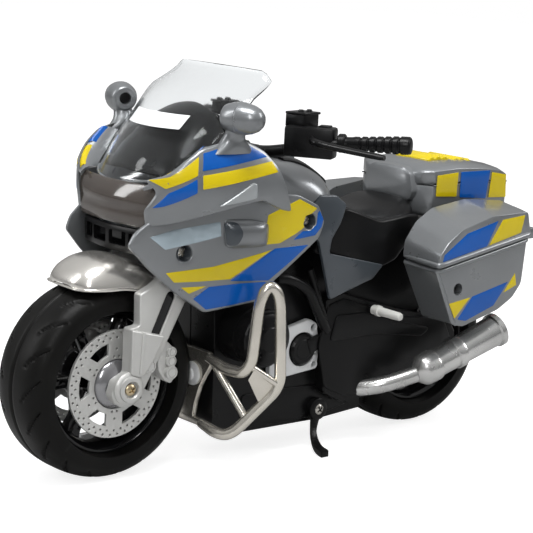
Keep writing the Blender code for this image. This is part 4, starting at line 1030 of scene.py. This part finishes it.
def make_panniers():
    case = luggage_body("case_left", CASE_INNER, CASE_OUTER, 28, 48, 0.7)
    lock = turned("lock", [(60, 0), (60, 2.3), (44, 2.3), (44, 0)], (0, 54.8, 64.1), steps=36)
    case = boolean(case, "DIFFERENCE", lock)
    both(case, "body_grey", "pannier_left")
    # The black plug at the bottom of the lock hole is painted shade; the case around it is grey
    # plastic.
    hole_shade = turned("lock_barrel_left", [(45.4, 0), (45.4, 1.3), (44.7, 2.2), (43.6, 2.2),
        (43.6, 0)], (0, 54.8, 64.1), steps=36)
    both(hole_shade, "black_satin", slot="grey_plastic")
    lid = luggage_body("case_lid_left", LID_INNER, LID_OUTER, 28, 49, 0.6)
    both(lid, "body_grey", "pannier_lid_left")
    films("lid", LID_FILMS, lambda y, z: 48.95)
    films("case", CASE_FILMS, lambda y, z: 47.95)
    lips = (("lid_lip", 74.1, 1.05, [(28.5, 45.3, 0.2), (40, 43.6, 0), (48.4, 42.9, 0),
        (49, 44.5, 0.2), (49, 70, 4.9), (49, 90.6, 8.6), (48.2, 92, 9), (40, 94.2, 9.6),
        (28.5, 97.3, 10.2)]), ("case_lip", 71.7, 0.85, [(28.5, 45.3, 0), (40, 44, 0),
        (47.4, 43.4, 0), (48.1, 45, 0.2), (48.1, 70, 4.7), (48.1, 90.4, 8.5), (47.2, 91.7, 8.9),
        (40, 93.7, 9.5), (28.5, 96.6, 10.1)]))
    for name, z, radius, path in lips:
        lip = tube(name + "_left", [(x, y, z + rise) for x, y, rise in path], radius, 1.6)
        both(lip, "body_grey")
    bead = tube("corner_bead_left", [(47.2, 43.4, 71.6), (47.2, 53.6, 51.6), (47.2, 56, 50.4)], 0.9,
        1.2)
    both(bead, "body_grey")
    lug = block("hinge_lug_left", (43.6, 90.6, 80.6), (47.6, 96.4, 85), 0.8)
    both(lug, "body_grey")


TOP_FILMS = (("yellow", ((67.5, 102.8), (79.1, 103.6), (78.9, 94), (67.5, 94.6))),
    ("blue", ((80.6, 103.7), (97.2, 103.7), (95.6, 92.4), (80.8, 93.6))),
    ("yellow", ((98.4, 102.9), (106.6, 101.6), (107.4, 92.4), (97.3, 92.7))))


def make_top_case():
    """Top case, its domed lid, the padded backrest and two wavy grip tablets."""
    plan = [(-13.8, 62.5), (13.8, 62.5), (20.3, 66.4), (20.4, 107.4), (18.8, 108.7), (-18.8, 108.7),
        (-20.4, 107.4), (-20.3, 66.4)]
    rings = []
    for z, shrink in ((86.4, 0.93), (87.2, 0.97), (88.6, 0.995), (98.6, 1)):
        rings.append([(x * shrink, 86 + (y - 86) * shrink, z) for x, y in plan])
    show(loft("trunk", rings, 0.5), "body_grey", "top_case")
    rows = []
    for y, low, brow, top, half in ((62.4, 99, 102.8, 104, 13.8), (63.6, 99, 103.6, 105.2, 16.2),
            (66.4, 99, 104.2, 106.4, 20.3), (79, 99, 105.1, 107, 20.5),
            (92, 99, 104.6, 106.6, 20.5), (103, 99, 103.4, 105.2, 20.5),
            (107.4, 99, 101.6, 103.2, 20), (108.8, 99.2, 100.8, 102, 18.6)):
        half_ring = [(0, low), (half - 0.8, low), (half, low + 0.8), (half, brow),
            (half - 1.6, brow + 0.45 * (top - brow)), (half - 5, top - 0.5), (half - 9.5, top),
            (0, top + 0.2)]
        rows.append([(x, y, z) for x, z in mirror_ring(half_ring)])
    show(loft("trunk_lid", rows, 0.35), "body_grey", "top_case_lid")
    films("trunk", TOP_FILMS, lambda y, z: 20.55 if z < 99 else 20.62)
    seam = tube("trunk_seam", [(20.3, 66, 98.8), (20.3, 107.4, 98.8), (19, 108.4, 98.8),
        (-19, 108.4, 98.8), (-20.3, 107.4, 98.8), (-20.3, 66, 98.8)], 0.35, 0.8)
    show(seam, "dark_grey")
    half = [(0, 105.2), (9, 104.8), (12.4, 102.8), (14.2, 96.2), (12.6, 92.4), (5.6, 90.4)]
    pad_outline = half + [(-x, z) for x, z in reversed(half[1:])]
    pad = []
    for y, grow in ((66.5, 1.04), (62.6, 1.04), (61, 0.97), (60.5, 0.86)):
        pad.append([(x * grow, y, 98.4 + (z - 98.4) * grow) for x, z in rounded(pad_outline, 1.4,
            True, 3)])
    show(loft("backrest", pad), "body_grey")
    for k, y in enumerate((73.4, 87)):
        wave = []
        for i in range(13):
            t = i / 12
            lift = 0.8 * sin(3 * pi * t) ** 2 + 0.6 * sin(pi * t)
            z = 107.4 - 0.8 * k + lift - 0.08 * 11 * t * k
            wave.append([(-9.4, y + 11 * t, z - 2), (9.4, y + 11 * t, z - 2),
                (9.4, y + 11 * t, z - 0.3), (9, y + 11 * t, z), (-9, y + 11 * t, z),
                (-9.4, y + 11 * t, z - 0.3)])
        show(loft(f"grip_tablet_{k}", wave, 0.2, 2), "print_yellow")
    # The black strip on the side of the top case is painted shade standing for a slot in the grey
    # plastic.
    slot_shade = block("trunk_slot_left", (19.6, 98.6, 88.4), (20.7, 106.2, 90.8), 0.4)
    both(slot_shade, "black_satin", slot="grey_plastic")

# -------------------- exhaust, guards


def make_exhaust():
    start, end = Vector((31, 58, 29)), Vector((35.5, 92.6, 42.6))
    axis = (end - start).normalized()
    length = (end - start).length
    profile = [(length - 11, 0), (length - 11, 5), (length - 0.4, 5), (length, 5.3), (length, 6.3),
        (length - 0.4, 6.8), (length - 2.4, 6.8), (length - 2.9, 6.1), (17.6, 5.7), (17.3, 6.25),
        (16.7, 6.45), (14.2, 6.45), (13.6, 6.25), (13.3, 5.7), (5.2, 5.5), (4.6, 6.1), (3.8, 6.3),
        (-1.2, 6.1), (-2.4, 5.6), (-4, 4.2), (-5.2, 2.7), (-5.2, 0)]
    silencer = turned("silencer", profile, start, axis, 72)
    path = curve_through([(17, 35, 21), (20.4, 37.4, 21.8), (24.4, 41.4, 23.2), (27.6, 47.4, 25.2),
        tuple(start - axis * 4)], 6)
    pipe = tube("header_pipe", path, 3.2, 0, 6)
    show(merged("exhaust_pipe", silencer, pipe), "silver_pipe", "exhaust")
    # The black lining inside the silencer's outlet is painted shade in the hollow of the silver
    # pipe.
    outlet_shade = turned("exhaust_outlet_shade", [(length - 10.6, 0), (length - 10.6, 4.9), (length - 1, 4.9),
        (length - 1, 4.96), (length - 10.9, 4.96), (length - 10.9, 0)], start, axis, 48)
    show(outlet_shade, "black_satin", slot="silver_plastic")


def make_guards():
    """Tubular crash bars round the cylinders and the belly guard between them."""
    path = [(15.6, -37.5, 41), (24, -36, 38.5), (32, -34.5, 38.5), (34.8, -33.2, 43),
        (35.6, -31.8, 64), (36.3, -30.3, 69), (37.2, -28, 70.4), (38, -25.6, 68), (38.2, -24.4, 63),
        (38.2, -22.4, 36), (36.8, -23.6, 31.5), (29.5, -34.6, 17), (27, -37, 15),
        (23.5, -38.6, 15.2), (15.6, -39.6, 17)]
    bar = tube("bar", path, 2.1, 2.4, 6)
    brace = tube("brace", [(34.5, -33.4, 41.5), (38, -24, 35)], 1.6)
    strut = tube("strut", [(17.5, -37.3, 40.6), (31.4, -31.6, 21.4)], 1.8)
    gusset = loft("gusset", [[(33.6, -33.4, 36.5), (35.6, -32.6, 40.5), (37.6, -24.5, 36),
        (36.2, -24.6, 31.5), (34, -28, 27)], [(34.2, -33.9, 36.5), (36.2, -33.1, 40.5),
        (38.2, -25, 36), (36.8, -25.1, 31.5), (34.6, -28.5, 27)]], 0.2)
    both(merged("roll_bar_left", bar, brace, strut, gusset), "silver_bar", "crash_bar_left")
    half = [(43, 16), (40, 18.2), (37.8, 17), (33.4, 13.9), (29, 11.5), (22.6, 9.3), (17.6, 8.4),
        (16.8, 17), (14.8, 16)]
    guard = plate("bash_plate", half + [(z, -x) for z, x in reversed(half)], 36, 38, 0.5, 0.6)
    guard.matrix_world = Matrix(((0, 0, 1, 0), (-1, 0, 0, 0), (0, 1, 0, 0), (0, 0, 0, 1)))
    show(bake(guard), "silver_bar", "belly_guard")
    bolt = turned("guard_bolt_left", [(2.6, 0), (2.5, 1.4), (2, 2.2), (1.3, 2.5), (1.1, 3.6),
        (0.6, 4.3), (0.1, 4.4), (-0.4, 4), (-0.4, 0)], (8, -38.4, 33.7), (0, -1, 0), 48)
    both(bolt, "pearl_silver", slot="steel")

# -------------------- engine and chassis


def make_chassis():
    """Finer mouldings over the two dark chassis halves."""
    cover = [(-9.4, 30.2), (-0.8, 29.8), (13.2, 31.2), (14.4, 35), (14.2, 42), (12.6, 49),
        (9, 50.9), (-3.3, 48), (-9.4, 46)]
    holes = [ring_points(6.2, 39.5, 6.4, 40), ring_points(11.2, 47.4, 1.2, 12),
        ring_points(12.4, 33, 1.1, 12), ring_points(-6.4, 43.4, 1, 12)]
    crankcase = plate("crankcase_left", cover, 14.5, 17, 0.5, 1.4, holes)
    mouth = loft("mouth", [[(x, 8, 36), (x, 20, 38.8), (x, 20, 45.8), (x, 8, 43.2)]
        for x in (12, 20)])
    both(boolean(crankcase, "DIFFERENCE", mouth), "pearl_silver", "engine_cover_left")
    hub = turned("clutch_hub_left", [(18.2, 0), (18.2, 3.6), (17.7, 4.2), (17.7, 5), (17.2, 5.6),
        (13, 5.8), (13, 0)], (0, 6.2, 39.5))
    both(hub, "black_satin")
    arm = plate("hub_arm_left", [(7, 43.2), (19, 46.2), (19.4, 42), (9, 37.4)], 17.1, 18.6, 0.4,
        0.8)
    both(arm, "black_satin")
    arch = tube("frame_arch_left", curve_through([(19, -10, 68.4), (20, -4.2, 67.5), (20, 4, 63.1),
        (19.6, 8.8, 56.5), (18.8, 16.2, 45.8)], 5), 2, 0, 5)
    link_bar = tube("frame_link_left", [(18, 6.4, 70.3), (18.4, 16.7, 46.2)], 1.8)
    both(merged("frame_tubes_left", arch, link_bar), "black_satin")
    cap = turned("head_cap", [(32, 0), (32, 4.4), (31.5, 5.2), (31.3, 8), (30.6, 9.4), (29, 10.2),
        (24.2, 10.6), (24, 10.2), (23.4, 10.2), (23.2, 10.7), (14.6, 10.9), (14.6, 0)],
        (0, -22, 49), steps=72)
    both(cap, "black_satin")
    bolt = [(32, 0), (32, 0.7), (31.7, 1), (30.4, 1.1), (30.4, 0)]
    bolts = [turned("bolt", bolt, (0, *polar(-22, 49, 6.6, 45 + 90 * k)), steps=20)
        for k in range(4)]
    both(merged("head_bolts_left", *bolts), "black_gloss", slot="black_plastic")
    swing = plate("swing_plate_left", [(16, 56), (12, 41), (16, 24), (27, 19.2), (51, 20.2),
        (64, 26), (77, 26.5), (83.5, 35), (79, 43.6), (70, 46), (55, 48), (36, 54), (24, 58)], 18.4,
        19.5, 0.5, 2)
    rib = plate("swing_rib_left", [(20, 52), (17, 42), (44, 42), (66, 39), (70, 42), (54, 46),
        (35, 51.5)], 19.2, 20.2, 0.5, 2)
    both(merged("swing_cover_left", swing, rib), "black_satin")
    sump = plate("sump_line_left", [(-20, 24.5), (14, 24.5), (34, 15), (18, 11.6), (-20, 11.6)],
        13.6, 14.6, 0.4, 2)
    both(sump, "black_satin")
    inner = plate("rear_inner_left", [(22, 56), (40, 50), (60, 46), (78, 52), (80, 66), (66, 75),
        (40, 73), (24, 72)], 12.8, 14.2, 0.4, 2)
    both(inner, "black_satin")
    for side in (1, -1):
        tag = "left" if side > 0 else "right"
        rings = [(35.8, 0), (35.8, 0.9), (35.4, 1.4), (34.6, 1.6), (24.6, 1.7), (24.3, 2.1),
            (22.6, 2.1), (22.3, 1.8), (20.8, 1.9), (20.8, 0)]
        peg = turned("peg_" + tag, [(side * x, r) for x, r in rings], (0, 38, 52.5), steps=32)
        show(peg, "gear_white", "foot_peg_" + tag)


def make_tail():
    guard = plate("rear_guard", [(98.6, 75.2), (104.5, 75), (108.5, 58), (107.2, 57.6), (101, 69)],
        -11, 11, 0.5, 0.7)
    show(guard, "black_satin", "rear_fender")
    rows = []
    for degrees, half in ((158, 8.6), (150, 10.6), (136, 11.4), (120, 11.6), (104, 11.6),
            (88, 11.2)):
        rows.append([(half * u, *polar(REAR_Y, AXLE_Z, 39.6 - 2.6 * abs(u) ** 4, degrees))
            for u in [-1 + i / 5 for i in range(11)]])
    show(shell("wheel_hugger", rows, (0, REAR_Y, AXLE_Z), 1.2, 0.3, 3, 2), "black_satin")
    lens = block("lens", (-12, 100.2, 76.2), (12, 106.6, 84.8), 1)
    ribs = [block("rib", (-11.2, 106.2, z), (11.2, 107.2, z + 0.9), 0.25)
        for z in (77.6, 79.2, 80.8, 82.4)]
    show(merged("rear_lamp", lens, *ribs), "lamp_red", "tail_lamp")
    show(block("lamp_stay", (-9, 97, 76.8), (9, 100.6, 83.6), 0.5), "black_satin")


def make_stand():
    boss = turned("boss", [(17.6, 0), (17.6, 2.7), (17.6, 3.6), (17.2, 4.2), (14.8, 4.2),
        (14.4, 3.8), (14.4, 0)], (0, 16, 15.1), steps=40)
    rings = []
    for x, y, z, wide, deep in ((16.2, 15.4, 13.4, 2.4, 1.5), (16.8, 14.2, 9.6, 1.9, 1.5),
            (18, 13.2, 6.2, 1.6, 1.4), (20.4, 12.3, 3.2, 1.6, 1.4), (23.6, 11.4, 1.6, 1.7, 1.3),
            (27.4, 10.5, 1.3, 1.9, 1.25), (28.6, 10.2, 1.3, 1.8, 1.2)):
        rings.append([(x, y - wide, z + deep), (x, y + wide, z + deep),
            (x + 0.2, y + wide, z - deep), (x + 0.2, y - wide, z - deep)])
    leg = loft("leg", rings, 0, 3)
    for vertex in leg.data.vertices:
        vertex.co.z = max(vertex.co.z, 0)
    show(merged("side_stand", boss, bevel(leg, 0.3)), "black_satin", "kickstand", "kickstand")
    screw("stand_cross", 2.2, 17.3, 16, 15.1, "stand_screw")


CAD_FINISHES = {"black_satin": ("chassis_left", "chassis_right", "drive_cover"),
    "bright_steel": ("front_axle", "rear_axle", "flywheel"), "gear_white": ("final_gear",
    "idler_gear_front", "idler_gear_rear")}


def finish_cad_nodes():
    """CAD nodes that stay in view get procedural materials."""
    for finish, nodes in CAD_FINISHES.items():
        for node in nodes:
            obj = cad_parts[node]
            for material_slot in obj.material_slots:
                material_slot.material = MATERIALS[finish]

# -------------------- stage


def seen_only(tree, other, seen):
    """One strength for what is seen, straight or through glass, and another for lighting."""
    path = add(tree, "LightPath").outputs
    either = add(tree, "Math")
    either.operation = "MAXIMUM"
    tree.links.new(path["Is Camera Ray"], either.inputs[0])
    tree.links.new(path["Is Transmission Ray"], either.inputs[1])
    pick = add(tree, "MapRange", To_Min=other, To_Max=seen, Value=either.outputs["Value"])
    return pick.outputs["Result"]


def make_stage():
    """A plain floor, a sky that is brighter overhead, and four soft lamps."""
    tree = surface("floor", None, (0.46, 0.46, 0.46), 0.6, mottle=0.01, cloud=4, grain=0.05,
        grain_scale=300, Emission_Color=(1, 1, 1, 1))
    wire(tree, tree.nodes["Principled BSDF"], Emission_Strength=seen_only(tree, 0, 0.8))
    bm = bmesh.new()
    bmesh.ops.create_grid(bm, x_segments=1, y_segments=1, size=3)
    floor = link("floor", bm)
    floor.data.materials.append(MATERIALS["floor"])
    floor.location.z = -0.0002
    SCENE.world = bpy.data.worlds.new("studio")
    SCENE.world.use_nodes = True
    tree = SCENE.world.node_tree
    height = add(tree, "SeparateXYZ", Vector=add(tree, "TexCoord").outputs["Generated"])
    rise = add(tree, "MapRange", Value=height.outputs["Z"], From_Min=-0.1, From_Max=0.9, To_Min=0.1,
        To_Max=0.66)
    wire(tree, tree.nodes["Background"], Color=(1, 1, 1, 1), Strength=seen_only(tree,
        rise.outputs["Result"], 1))
    for name, place, size, power in (("top", (0.15, -0.2, 0.75), (0.42, 0.26), 5),
            ("key", (0.75, -0.75, 0.65), (0.16, 0.5), 3), ("left", (-0.55, -0.75, 0.5), (0.14, 0.6),
            2.4), ("rear", (0.5, 0.7, 0.6), (0.25, 0.4), 2.6)):
        data = bpy.data.lights.new(name, "AREA")
        data.shape = "RECTANGLE"
        data.size, data.size_y = size
        data.energy = power
        lamp = put(name, data)
        lamp.location = place
        aim = Vector((0, 0, 0.06)) - Vector(place)
        lamp.rotation_euler = aim.to_track_quat("-Z", "Y").to_euler()
    SCENE.view_settings.view_transform = "Standard"


def make_camera():
    azimuth, elevation, roll = (radians(a) for a in (49.581, 10.773, 3.216))
    back = Vector((sin(azimuth) * cos(elevation), -cos(azimuth) * cos(elevation), sin(elevation)))
    right = Vector((cos(azimuth), sin(azimuth), 0))
    up = back.cross(right)
    x_axis = right * cos(roll) + up * sin(roll)
    y_axis = up * cos(roll) - right * sin(roll)
    data = bpy.data.cameras.new("camera")
    data.lens, data.sensor_width = 118.94, 36
    data.shift_x, data.shift_y = -0.00544, 0.00505
    data.clip_start, data.clip_end = 0.01, 20
    SCENE.camera = put("camera", data)
    turn = Matrix((x_axis, y_axis, back)).transposed().to_4x4()
    place = Vector((0, 2.19, 67.3)) * MM + back * 0.66348
    SCENE.camera.matrix_world = Matrix.Translation(place) @ turn


make_materials()
make_wheels()
make_fork()
make_fender()
make_fairings()
make_nose()
make_screen()
make_handlebar()
make_rider_area()
make_panniers()
make_top_case()
make_exhaust()
make_guards()
make_chassis()
make_tail()
make_stand()
finish_cad_nodes()
make_stage()
make_camera()
